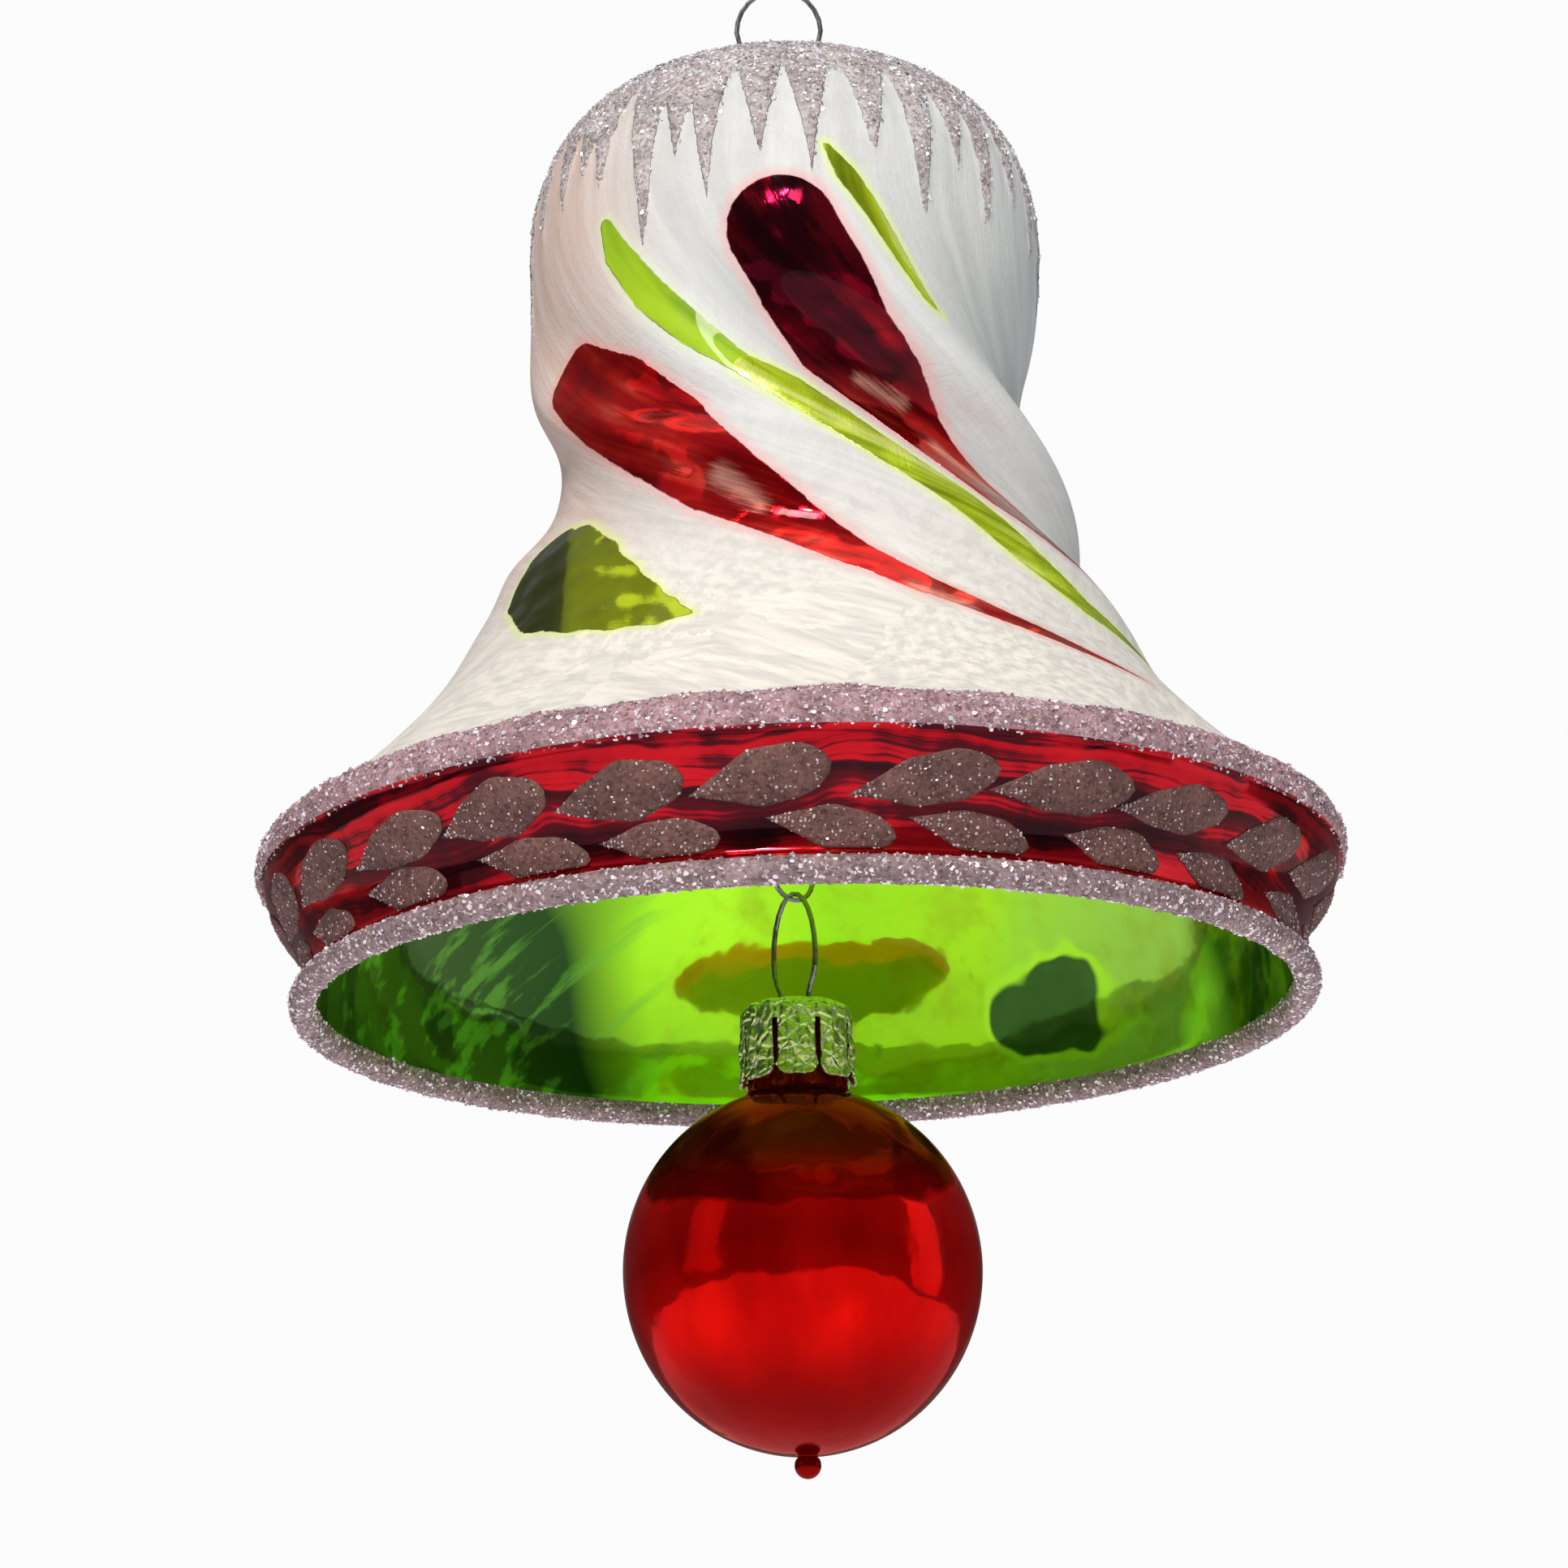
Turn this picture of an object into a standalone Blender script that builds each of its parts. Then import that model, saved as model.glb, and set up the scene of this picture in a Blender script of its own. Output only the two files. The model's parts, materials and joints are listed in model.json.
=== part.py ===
"""Mouth-blown glass bell ornament: a double-walled bell with swirled folds, hung from a wire loop in a
crown cap, and a glass ball clapper that hangs from an eye and a wire link under the bell's crown.

Metres, +Z up. The origin is the hanging point, at the inside of the hanging loop's top.
The bell's own heights are counted up from its rim, and the bell_rim empty puts the rim in its place.
"""

import math

import bmesh
import bpy
from mathutils import Vector, geometry

# Fits
CLEARANCE = 0.0003  # between pieces that are pushed together
CHAIN_CLEARANCE = 0.0001  # between wires that hang in each other

# Bell glass
GLASS_WALL = 0.0009
SHOULDER_RADIUS = 0.0457
SHOULDER_HEIGHT = 0.0112
SHOULDER_ROUND = 0.0024
RIM_STEP = 0.0035
RIM_RADIUS = SHOULDER_RADIUS - RIM_STEP  # centre line of the rolled rim
RIM_ROLL_RADIUS = 0.0012
CREASE_HEIGHT = 0.0016
CREASE_INSET = 0.0003
BAND_COVE = 0.0045  # how far the red band falls straight above its crease
BAND_LEAN = 0.0003
DOME_RADIUS = 0.0225
DOME_HEIGHT = 0.0660
DOME_RISE = 0.0187
CROWN_HEIGHT = DOME_HEIGHT + DOME_RISE
WAIST_INSET = 0.0013
WAIST_RADIUS = DOME_RADIUS - WAIST_INSET
WAIST_HEIGHT = 0.0500
DOME_SQUARENESS = 2.67
CROWN_DISH_RADIUS = 0.0085
CROWN_DISH_DEPTH = 0.0018
HOLLOW_FLOOR = 0.0066  # below this the two walls are melted together
BOWL_HEIGHT = 0.0280
BOWL_SQUARENESS = 2.3
BELL_SEGMENTS = 40

# Swirled ridges in the bell's body: angle at the top in degrees, share of the depth, pace of the turn
FOLDS = (
    (-104, 1.0, 1.2),
    (-49, 0.9, 0.9),
    (5, 1.25, 1.13),
    (108, 0.9, 1.2),
    (162, 0.9, 1.2),
)
FOLD_DEPTH = 0.0031
FOLD_MEAN = 0.45  # share of the depth that the glass sinks by between the ridges
FOLD_HALF_ANGLE = 19.0
FOLD_SPREAD = 0.9  # how much wider the ridges are one reach below their middle
FOLD_MIDDLE = 0.0460
FOLD_REACH = 0.0145
SWIRL_TOP = 0.0680
SWIRL_BOTTOM = 0.0150
SWIRL_ANGLE = 270.0
SWIRL_POWER = 1.9

# Wire
WIRE_RADIUS = 0.00022

# Hanging cap and loop
BELL_CAP_RADIUS = 0.0040
BELL_CAP_HEIGHT = 0.0042
BELL_LOOP_RISE = 0.0075
BELL_LOOP_HALF_WIDTH = 0.0038
BELL_LOOP_HOLE = 0.0019
BELL_LEG_SPREAD = 0.0030

# Clapper suspension
EYE_OFFSET = -0.0008  # the blown bowl's peak is a little off the axis
PEAK_REACH = 0.0150  # how far out the bowl leans with its peak
EYE_HOLE_RADIUS = 0.00055
EYE_RING_RADIUS = 0.0013
EYE_TAIL = 0.0026
LINK_HALF_WIDTH = 0.0025
HOOK_HEIGHT = 0.0098  # top of the clapper's loop, above the rim
LINK_TURN = math.radians(45)  # the link's plane, and the clapper's loop stands square to it

# Clapper
BALL_RADIUS = 0.0150
BALL_HALF_HEIGHT = 0.0153
BALL_WALL = 0.0008
PIP_RADIUS = 0.0011
PIP_LENGTH = 0.0019
CLAPPER_CAP_RADIUS = 0.0047
CLAPPER_CAP_HEIGHT = 0.0068
CLAPPER_NECK_SHOW = 0.0004  # glass between the cap's tabs and the ball
CLAPPER_LOOP_RISE = 0.0099
CLAPPER_LOOP_HALF_WIDTH = 0.0025
CLAPPER_LOOP_HOLE = 0.0015
CLAPPER_LEG_SPREAD = 0.0025

# Crown caps
CAP_SHEET = 0.00028
CAP_ROUND = 0.0011
CAP_TABS = 8
CAP_SLIT = 0.0005
CAP_TAB_ROUND = 0.0009
CAP_FLARE = 0.00025
CAP_FLARE_HEIGHT = 0.0012

# What follows from them
HANG_TO_CAP = BELL_LOOP_RISE - WIRE_RADIUS
CAP_FOOT = CROWN_HEIGHT - CROWN_DISH_DEPTH + 1.4 * CLEARANCE
RIM_Z = -(HANG_TO_CAP + BELL_CAP_HEIGHT + CAP_FOOT)
WIRE_PITCH = 2 * WIRE_RADIUS + CHAIN_CLEARANCE
EYE_HEIGHT = BOWL_HEIGHT - CLEARANCE - WIRE_RADIUS - EYE_RING_RADIUS
LINK_TOP = EYE_HEIGHT - EYE_RING_RADIUS + WIRE_PITCH
LINK_BOTTOM = HOOK_HEIGHT - WIRE_PITCH
CLAPPER_CAP_TOP = -CLAPPER_LOOP_RISE
BALL_TOP = CLAPPER_CAP_TOP - CLAPPER_CAP_HEIGHT - CLAPPER_NECK_SHOW
BALL_CENTRE = BALL_TOP - BALL_HALF_HEIGHT


def new_collection(name):
    collection = bpy.data.collections.new(name)
    bpy.context.scene.collection.children.link(collection)
    return collection


def new_material(name, colour, roughness, metallic, alpha=1.0):
    material = bpy.data.materials.new(name)
    material.use_nodes = True
    shader = material.node_tree.nodes["Principled BSDF"]
    shader.inputs["Base Color"].default_value = (*colour, 1.0)
    shader.inputs["Roughness"].default_value = roughness
    shader.inputs["Metallic"].default_value = metallic
    shader.inputs["Alpha"].default_value = alpha
    return material


def add_object(name, data, collection, material, parent=None):
    """A new object with its material, under its parent."""
    obj = bpy.data.objects.new(name, data)
    collection.objects.link(obj)
    data.materials.append(material)
    obj.parent = parent
    return obj


def add_empty(name, location, turn=0.0, parent=None):
    empty = bpy.data.objects.new(name, None)
    empty.empty_display_size = 0.005
    empty.location = location
    empty.rotation_euler.z = turn
    empty.parent = parent
    ornament.objects.link(empty)
    return empty


def smooth(mesh):
    mesh.shade_smooth()
    mesh.set_sharp_from_angle(angle=math.radians(40))


def baked(obj):
    """Puts the object's evaluated mesh in place of its modifiers."""
    bpy.context.view_layer.update()
    graph = bpy.context.evaluated_depsgraph_get()
    mesh = bpy.data.meshes.new_from_object(obj.evaluated_get(graph))
    obj.modifiers.clear()
    obj.data = mesh
    smooth(mesh)
    return obj


def arc(centre, radius, start, end, steps):
    """Points on an arc in the (r, z) plane, angles in degrees from +r."""
    angles = [math.radians(start + (end - start) * i / steps) for i in range(steps + 1)]
    return [(centre[0] + radius * math.cos(a), centre[1] + radius * math.sin(a)) for a in angles]


def bezier(a, b, c, d, steps):
    points = geometry.interpolate_bezier(*(Vector((*p, 0)) for p in (a, b, c, d)), steps + 1)
    return [(p.x, p.y) for p in points]


def squared_quarter(radius, height, base, squareness, share, steps):
    """A superellipse from its wide end at the base towards the axis, over this share of a right angle."""
    points = []
    for i in range(steps + 1):
        angle = share * math.pi / 2 * i / steps
        r = radius * math.cos(angle) ** (2 / squareness)
        z = base + height * math.sin(angle) ** (2 / squareness)
        points.append((r, z))
    return points


def inset(points, distance):
    """The outline moved to its right-hand side by this distance."""
    moved = []
    for i, (r, z) in enumerate(points):
        before = Vector(points[max(i - 1, 0)])
        after = Vector(points[min(i + 1, len(points) - 1)])
        along = (after - before).normalized()
        moved.append((r + along.y * distance, z - along.x * distance))
    return moved


def turned(name, outline, segments, ring, collection, material, parent=None):
    """Turns an (r, z) outline about Z. A ring's outline closes on itself, off the axis."""
    mesh = bpy.data.meshes.new(name)
    edges = [(i, i + 1) for i in range(len(outline) - 1)]
    if ring:
        edges.append((len(outline) - 1, 0))
    mesh.from_pydata([(r, 0, z) for r, z in outline], edges, [])
    obj = add_object(name, mesh, collection, material, parent)
    screw = obj.modifiers.new("turn", "SCREW")
    screw.steps = screw.render_steps = segments
    screw.use_merge_vertices = True
    screw.merge_threshold = 0.00001
    return facing_out(baked(obj))


def facing_out(obj):
    shape = bmesh.new()
    shape.from_mesh(obj.data)
    bmesh.ops.recalc_face_normals(shape, faces=shape.faces)
    shape.to_mesh(obj.data)
    shape.free()
    return obj


# Bell glass


def swirl(height):
    """How far the folds have turned at this height, in degrees."""
    drop = (SWIRL_TOP - height) / (SWIRL_TOP - SWIRL_BOTTOM)
    return SWIRL_ANGLE * max(drop, 0) ** SWIRL_POWER


def fold_rise(angle, height):
    """How far the folds lift the glass at this angle from the front, in degrees, and height."""
    depth = FOLD_DEPTH * math.exp(-(((height - FOLD_MIDDLE) / FOLD_REACH) ** 2))
    width = FOLD_HALF_ANGLE * (1 + FOLD_SPREAD * max((FOLD_MIDDLE - height) / FOLD_REACH, 0))
    rise = -FOLD_MEAN
    for start, share, pace in FOLDS:
        off = (angle - start - pace * swirl(height) + 180) % 360 - 180
        rise += share * math.exp(-((off / width) ** 2))
    return depth * rise


def neck_radius(cap_radius):
    return cap_radius - CAP_SHEET - CLEARANCE


def bell_outer_wall():
    """The outside, from the foot of the neck down to the crease above the rim."""
    dome = squared_quarter(
        DOME_RADIUS, DOME_RISE, DOME_HEIGHT, DOME_SQUARENESS, 0.8, 9
    )[::-1]
    neck = neck_radius(BELL_CAP_RADIUS)
    floor = CROWN_HEIGHT - CROWN_DISH_DEPTH
    lip = next(p for p in dome if p[0] > CROWN_DISH_RADIUS)
    dome = dome[dome.index(lip) :]
    dish = bezier((neck + 0.0010, floor), (neck + 0.0025, floor), (lip[0] - 0.003, lip[1] + 0.0004), lip, 4)
    fall = WAIST_HEIGHT - SHOULDER_HEIGHT
    top = (SHOULDER_RADIUS - 0.62 * SHOULDER_ROUND, SHOULDER_HEIGHT + 0.75 * SHOULDER_ROUND)
    body = bezier(
        (DOME_RADIUS, DOME_HEIGHT),
        (DOME_RADIUS, DOME_HEIGHT - 0.007),
        (WAIST_RADIUS, WAIST_HEIGHT + 0.006),
        (WAIST_RADIUS, WAIST_HEIGHT),
        4,
    )
    skirt = bezier(
        (WAIST_RADIUS, WAIST_HEIGHT),
        (WAIST_RADIUS, WAIST_HEIGHT - 0.35 * fall),
        (top[0] - 0.0118, top[1] + 0.0088),
        top,
        11,
    )
    centre = (SHOULDER_RADIUS - SHOULDER_ROUND, SHOULDER_HEIGHT)
    shoulder = arc(centre, SHOULDER_ROUND, 35, -12, 3)
    crease = (RIM_RADIUS - CREASE_INSET, CREASE_HEIGHT)
    start = shoulder[-1]
    leaving = (start[0] - BAND_LEAN, start[1] - BAND_COVE + 0.0009)
    band = bezier(start, leaving, (crease[0], crease[1] + BAND_COVE), crease, 6)
    return dish[:-1] + dome[:-1] + body[:-1] + skirt + shoulder + band[1:]


def bell_outline():
    """The whole section of the glass: down the outside, round the rim, up the bowl and back inside."""
    outer = bell_outer_wall()
    neck = neck_radius(BELL_CAP_RADIUS)
    neck_top = CAP_FOOT + BELL_CAP_HEIGHT - CAP_SHEET - CLEARANCE
    neck_foot = outer[0][1] + 0.0006
    roll = arc((RIM_RADIUS, 0), RIM_ROLL_RADIUS, 80, -180, 9)
    bowl = squared_quarter(
        RIM_RADIUS - RIM_ROLL_RADIUS, BOWL_HEIGHT, 0, BOWL_SQUARENESS, 0.93, 9
    )[1:]
    bowl_top = inset([*bowl, (0, BOWL_HEIGHT)], GLASS_WALL)[:-1]
    inside = [p for p in inset(outer, GLASS_WALL) if p[1] > HOLLOW_FLOOR]
    under = [p for p in bowl_top if p[1] > HOLLOW_FLOOR]
    hole = [(EYE_HOLE_RADIUS, BOWL_HEIGHT), (EYE_HOLE_RADIUS, BOWL_HEIGHT + GLASS_WALL)]
    neck_bore = neck - GLASS_WALL
    outside = [(neck, neck_top), (neck, neck_foot), *outer]
    back = [*inside[::-1], (neck_bore, neck_foot - GLASS_WALL), (neck_bore, neck_top)]
    return outside + roll + bowl + hole + under[::-1] + back


def in_bowl(radius, height):
    """Whether a point of the glass belongs to the bowl that closes the mouth, not to the outer wall."""
    share = min(max(height / (BOWL_HEIGHT + 2 * GLASS_WALL), 0), 1)
    return radius < (RIM_RADIUS + GLASS_WALL) * (1 - share**BOWL_SQUARENESS) ** (1 / BOWL_SQUARENESS)


def build_bell_glass():
    obj = turned(
        "bell_glass", bell_outline(), BELL_SEGMENTS, True, ornament, bell_lacquer, bell_rim
    )
    for vertex in obj.data.vertices:
        x, y, z = vertex.co
        radius = math.hypot(x, y)
        if in_bowl(radius, z):
            vertex.co.x += EYE_OFFSET * min(max(1 - (radius - EYE_HOLE_RADIUS) / PEAK_REACH, 0), 1)
        elif z > SWIRL_BOTTOM:
            grown = 1 + fold_rise(math.degrees(math.atan2(x, -y)), z) / radius
            vertex.co = (x * grown, y * grown, z)
    return obj


# Crown caps


def slit_cutter(name, radius, height, foot):
    """A blade across the whole cap: a slit that widens at the foot, which rounds the tabs' ends."""
    half = CAP_SLIT / 2
    top = foot + height - CAP_ROUND - 0.0008
    flank = arc((half + CAP_TAB_ROUND, foot + CAP_TAB_ROUND), CAP_TAB_ROUND, 180, 270, 4)
    low = foot - 0.001
    right = [(half, top), *flank, (half + CAP_TAB_ROUND, low)]
    outline = [*right, *((-x, z) for x, z in right[::-1])]
    mesh = bpy.data.meshes.new(name)
    shape = bmesh.new()
    reach = 2 * radius
    face = shape.faces.new([shape.verts.new((x, -reach, z)) for x, z in outline])
    grown = bmesh.ops.extrude_face_region(shape, geom=[face])["geom"]
    moved = [v for v in grown if isinstance(v, bmesh.types.BMVert)]
    bmesh.ops.translate(shape, vec=(0, 2 * reach, 0), verts=moved)
    bmesh.ops.recalc_face_normals(shape, faces=shape.faces)
    shape.to_mesh(mesh)
    shape.free()
    return hidden_cutter(name, mesh)


def hole_cutter(name, x, y, z):
    mesh = bpy.data.meshes.new(name)
    shape = bmesh.new()
    bore = WIRE_RADIUS + CLEARANCE
    bmesh.ops.create_cone(
        shape, cap_ends=True, segments=12, radius1=bore, radius2=bore, depth=8 * CAP_SHEET
    )
    shape.to_mesh(mesh)
    shape.free()
    obj = hidden_cutter(name, mesh)
    obj.location = (x, y, z)
    return obj


def hidden_cutter(name, mesh):
    obj = bpy.data.objects.new(name, mesh)
    cutters.objects.link(obj)
    obj.hide_render = True
    obj.display_type = "WIRE"
    return obj


def cut(obj, cutter):
    boolean = obj.modifiers.new(cutter.name, "BOOLEAN")
    boolean.operation = "DIFFERENCE"
    boolean.solver = "EXACT"
    boolean.object = cutter


def crown_cap(name, radius, height, foot, hole, turn, parent):
    """A drawn cap with tabs, and two holes for the legs of its loop."""
    top = foot + height
    corner = (radius - CAP_ROUND, top - CAP_ROUND)
    flare = foot + CAP_FLARE_HEIGHT
    outside = [(0, top), *arc(corner, CAP_ROUND, 90, 0, 4), (radius, flare), (radius + CAP_FLARE, foot)]
    bore = radius - CAP_SHEET
    inside = [
        (bore + CAP_FLARE, foot),
        (bore, flare),
        *arc(corner, CAP_ROUND - CAP_SHEET, 0, 90, 4),
        (0, top - CAP_SHEET),
    ]
    obj = turned(name, outside + inside, 32, False, ornament, cap_metal, parent)
    for i in range(CAP_TABS // 2):
        blade = slit_cutter(f"{name}_slit_{i}", radius, height, foot)
        blade.rotation_euler.z = math.pi * (i + 0.5) * 2 / CAP_TABS
        blade.parent = parent
        cut(obj, blade)
    for side in (-1, 1):
        x, y = side * hole * math.cos(turn), side * hole * math.sin(turn)
        drill = hole_cutter(f"{name}_hole_{side}", x, y, top)
        drill.parent = parent
        cut(obj, drill)
    return baked(obj)


# Wires


def wire(name, points, closed, parent, material):
    """A round wire through the points."""
    curve = bpy.data.curves.new(name, "CURVE")
    curve.dimensions = "3D"
    curve.bevel_depth = WIRE_RADIUS
    curve.bevel_resolution = 2
    curve.use_fill_caps = not closed
    spline = curve.splines.new("POLY")
    spline.points.add(len(points) - 1)
    spline.use_cyclic_u = closed
    for slot, point in zip(spline.points, points):
        slot.co = (*point, 1.0)
    return add_object(name, curve, ornament, material, parent)


def upright(points, turn, base=(0, 0, 0)):
    """Stands (s, z) points up in the plane at this turn about Z."""
    c, s = math.cos(turn), math.sin(turn)
    return [(base[0] + p * c, base[1] + p * s, base[2] + z) for p, z in points]


def loop_half(rise, half_width, hole, neck_depth, leg_spread, bore):
    """Half of a spring loop, from the top of its arch to the end of one leg. Its cap's top is at 0."""
    middle = 0.45 * rise
    arch = [(half_width * math.sin(a), middle + (rise - middle) * math.cos(a)) for a in quarter(6)]
    side = bezier(arch[-1], (half_width, 0.4 * middle), (hole, 0.45 * middle), (hole, 0), 5)
    inside = bore - WIRE_RADIUS - CLEARANCE
    bend = -0.5 * neck_depth
    neck = bezier((hole, -0.001), (hole, bend), (inside, bend), (inside, -neck_depth), 4)
    return arch + side[1:] + neck + [(inside + leg_spread, -neck_depth - leg_spread)]


def quarter(steps):
    return [math.pi / 2 * i / steps for i in range(steps + 1)]


def spring_loop(name, half, cap_top, turn, parent):
    """A hanging loop whose legs go through its cap and spread inside the neck."""
    points = [(-s, z) for s, z in half[:0:-1]] + half
    return wire(name, upright(points, turn, (0, 0, cap_top)), False, parent, wire_metal)


def build_clapper_eye():
    """A tail that lies on the bowl, a shank down through its peak, and a ring under it."""
    tail = BOWL_HEIGHT + GLASS_WALL + CLEARANCE + WIRE_RADIUS
    bend = 2 * WIRE_RADIUS
    top = [(EYE_TAIL, tail), *arc((bend, tail - bend), bend, 90, 180, 3)]
    ring = arc((0, EYE_HEIGHT), EYE_RING_RADIUS, 78, -235, 20)
    points = upright(top + ring, LINK_TURN + math.pi / 2, (EYE_OFFSET, 0, 0))
    return wire("clapper_eye", points, False, bell_rim, wire_metal)


def build_hanger_link():
    """A long closed link that hangs in the eye."""
    straight = LINK_BOTTOM - LINK_TOP + LINK_HALF_WIDTH
    low = arc((0, straight), LINK_HALF_WIDTH, -180, 0, 12)
    high = arc((0, -LINK_HALF_WIDTH), LINK_HALF_WIDTH, 0, 180, 12)
    return wire("hanger_link", upright(low + high, 0), True, link_pivot, wire_metal)


# Clapper


def ball_outline():
    """The blown ball's section, up the inside and down the outside to the pip."""
    neck = neck_radius(CLAPPER_CAP_RADIUS)
    bore = neck - BALL_WALL
    neck_top = CLAPPER_CAP_TOP - CAP_SHEET - CLEARANCE
    join = math.degrees(math.asin((neck + 0.0004) / BALL_RADIUS))
    steps = 12
    outside, inside = [], []
    for i in range(steps + 1):
        angle = math.radians(join + (180 - 4 - join) * i / steps)
        outside.append(ball_point(angle, 0))
        inside.append(ball_point(angle, BALL_WALL))
    foot = outside[0][1] + 0.0012
    tip = BALL_CENTRE - BALL_HALF_HEIGHT - PIP_LENGTH
    drop = arc((0, tip + PIP_RADIUS), PIP_RADIUS, 20, -90, 5)
    waist = (0.8 * PIP_RADIUS, tip + PIP_LENGTH + 0.0001)
    floor = BALL_CENTRE - BALL_HALF_HEIGHT + BALL_WALL
    up = [(0, floor), *inside[:0:-1], (bore, foot - BALL_WALL), (bore, neck_top)]
    down = [(neck, neck_top), (neck, foot), *outside[:-1], waist, *drop[:-1], (0, tip)]
    return up + down


def ball_point(angle, wall):
    r = (BALL_RADIUS - wall) * math.sin(angle)
    return r, BALL_CENTRE + (BALL_HALF_HEIGHT - wall) * math.cos(angle)


def build_clapper():
    foot = CLAPPER_CAP_TOP - CLAPPER_CAP_HEIGHT
    turn = LINK_TURN - math.pi / 2
    turned("clapper_ball", ball_outline(), 32, False, ornament, ball_glass, clapper_pivot)
    crown_cap(
        "clapper_cap", CLAPPER_CAP_RADIUS, CLAPPER_CAP_HEIGHT, foot, CLAPPER_LOOP_HOLE, turn, clapper_pivot
    )
    half = loop_half(
        CLAPPER_LOOP_RISE,
        CLAPPER_LOOP_HALF_WIDTH,
        CLAPPER_LOOP_HOLE,
        CLAPPER_CAP_HEIGHT + CLAPPER_NECK_SHOW + 2 * BALL_WALL,
        CLAPPER_LEG_SPREAD,
        neck_radius(CLAPPER_CAP_RADIUS) - BALL_WALL,
    )
    spring_loop("clapper_loop", half, CLAPPER_CAP_TOP, turn, clapper_pivot)


def build_hanging_fittings():
    crown_cap("bell_cap", BELL_CAP_RADIUS, BELL_CAP_HEIGHT, CAP_FOOT, BELL_LOOP_HOLE, 0, bell_rim)
    half = loop_half(
        BELL_LOOP_RISE,
        BELL_LOOP_HALF_WIDTH,
        BELL_LOOP_HOLE,
        BELL_CAP_HEIGHT + 3 * GLASS_WALL,
        BELL_LEG_SPREAD,
        neck_radius(BELL_CAP_RADIUS) - GLASS_WALL,
    )
    spring_loop("bell_loop", half, CAP_FOOT + BELL_CAP_HEIGHT, 0, bell_rim)


for leftover in list(bpy.data.objects):
    bpy.data.objects.remove(leftover)

ornament = new_collection("bell_ornament")
cutters = new_collection("cutters")
bell_lacquer = new_material("bell_lacquer", (0.82, 0.84, 0.86), 0.45, 0.0)
cap_metal = new_material("cap_metal", (0.72, 0.72, 0.70), 0.3, 1.0)
wire_metal = new_material("wire_metal", (0.62, 0.63, 0.64), 0.25, 1.0)
ball_glass = new_material("ball_glass", (0.55, 0.02, 0.01), 0.05, 0.0, 0.85)

bell_rim = add_empty("bell_rim", (0, 0, RIM_Z))
link_pivot = add_empty("link_pivot", (EYE_OFFSET, 0, LINK_TOP), LINK_TURN, bell_rim)
clapper_pivot = add_empty("clapper_pivot", (EYE_OFFSET, 0, HOOK_HEIGHT), 0, bell_rim)

build_bell_glass()
build_hanging_fittings()
build_clapper_eye()
build_hanger_link()
build_clapper()
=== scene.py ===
import json
import math

import bpy
import numpy as np
from mathutils import Matrix, Vector, noise


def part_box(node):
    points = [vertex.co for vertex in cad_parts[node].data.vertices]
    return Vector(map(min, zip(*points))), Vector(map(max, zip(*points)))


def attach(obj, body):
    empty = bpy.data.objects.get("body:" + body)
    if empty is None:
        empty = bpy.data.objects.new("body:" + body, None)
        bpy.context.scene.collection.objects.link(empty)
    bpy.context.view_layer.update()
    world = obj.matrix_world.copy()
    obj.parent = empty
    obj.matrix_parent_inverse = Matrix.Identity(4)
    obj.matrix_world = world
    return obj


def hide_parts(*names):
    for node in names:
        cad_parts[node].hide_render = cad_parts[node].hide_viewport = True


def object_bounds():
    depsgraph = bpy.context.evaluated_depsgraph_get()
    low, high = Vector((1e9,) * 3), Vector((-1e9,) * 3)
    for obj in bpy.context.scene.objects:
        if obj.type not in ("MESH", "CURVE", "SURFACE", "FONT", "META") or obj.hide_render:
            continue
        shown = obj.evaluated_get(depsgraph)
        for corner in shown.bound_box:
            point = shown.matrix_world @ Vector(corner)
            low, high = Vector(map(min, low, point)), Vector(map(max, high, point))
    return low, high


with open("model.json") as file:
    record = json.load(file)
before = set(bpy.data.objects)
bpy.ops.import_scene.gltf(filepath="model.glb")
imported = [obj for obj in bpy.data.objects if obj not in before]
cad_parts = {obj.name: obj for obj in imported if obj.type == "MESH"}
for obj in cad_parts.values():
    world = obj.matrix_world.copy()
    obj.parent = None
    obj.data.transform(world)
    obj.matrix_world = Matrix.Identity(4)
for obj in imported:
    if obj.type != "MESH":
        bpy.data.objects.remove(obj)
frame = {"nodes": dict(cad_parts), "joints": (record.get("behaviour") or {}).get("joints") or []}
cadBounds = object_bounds()

mm = 0.001
dice = np.random.default_rng(12)
joints = {joint["name"]: joint for joint in frame["joints"]}


# Small helpers for node trees


def fill(tree, node, values):
    # a socket is linked, anything else becomes the input's own value
    for key, value in values.items():
        if isinstance(value, bpy.types.NodeSocket):
            tree.links.new(value, node.inputs[key])
        else:
            node.inputs[key].default_value = value
    return node


def addNode(tree, kind, values=None, **settings):
    node = tree.nodes.new("ShaderNode" + kind)
    for key, value in settings.items():
        setattr(node, key, value)
    return fill(tree, node, values or {})


def calc(tree, operation, a, b):
    return addNode(tree, "Math", {0: a, 1: b}, operation=operation).outputs[0]


def plus(tree, a, b):
    return calc(tree, "ADD", a, b)


def times(tree, a, b):
    return calc(tree, "MULTIPLY", a, b)


def opposite(tree, value):
    return calc(tree, "SUBTRACT", 1.0, value)


def remap(tree, value, low, high, newLow=0.0, newHigh=1.0, curve="SMOOTHSTEP"):
    values = {"Value": value, "From Min": low, "From Max": high, "To Min": newLow, "To Max": newHigh}
    return addNode(tree, "MapRange", values, interpolation_type=curve).outputs[0]


def mixed(tree, factor, first, second):
    return addNode(tree, "Mix", {0: factor, 2: first, 3: second}).outputs[0]


def blendColors(tree, factor, first, second, kind="MIX"):
    tones = [(*tone, 1.0) if isinstance(tone, tuple) else tone for tone in (first, second)]
    values = {0: factor, 6: tones[0], 7: tones[1]}
    return addNode(tree, "Mix", values, data_type="RGBA", blend_type=kind).outputs[2]


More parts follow.
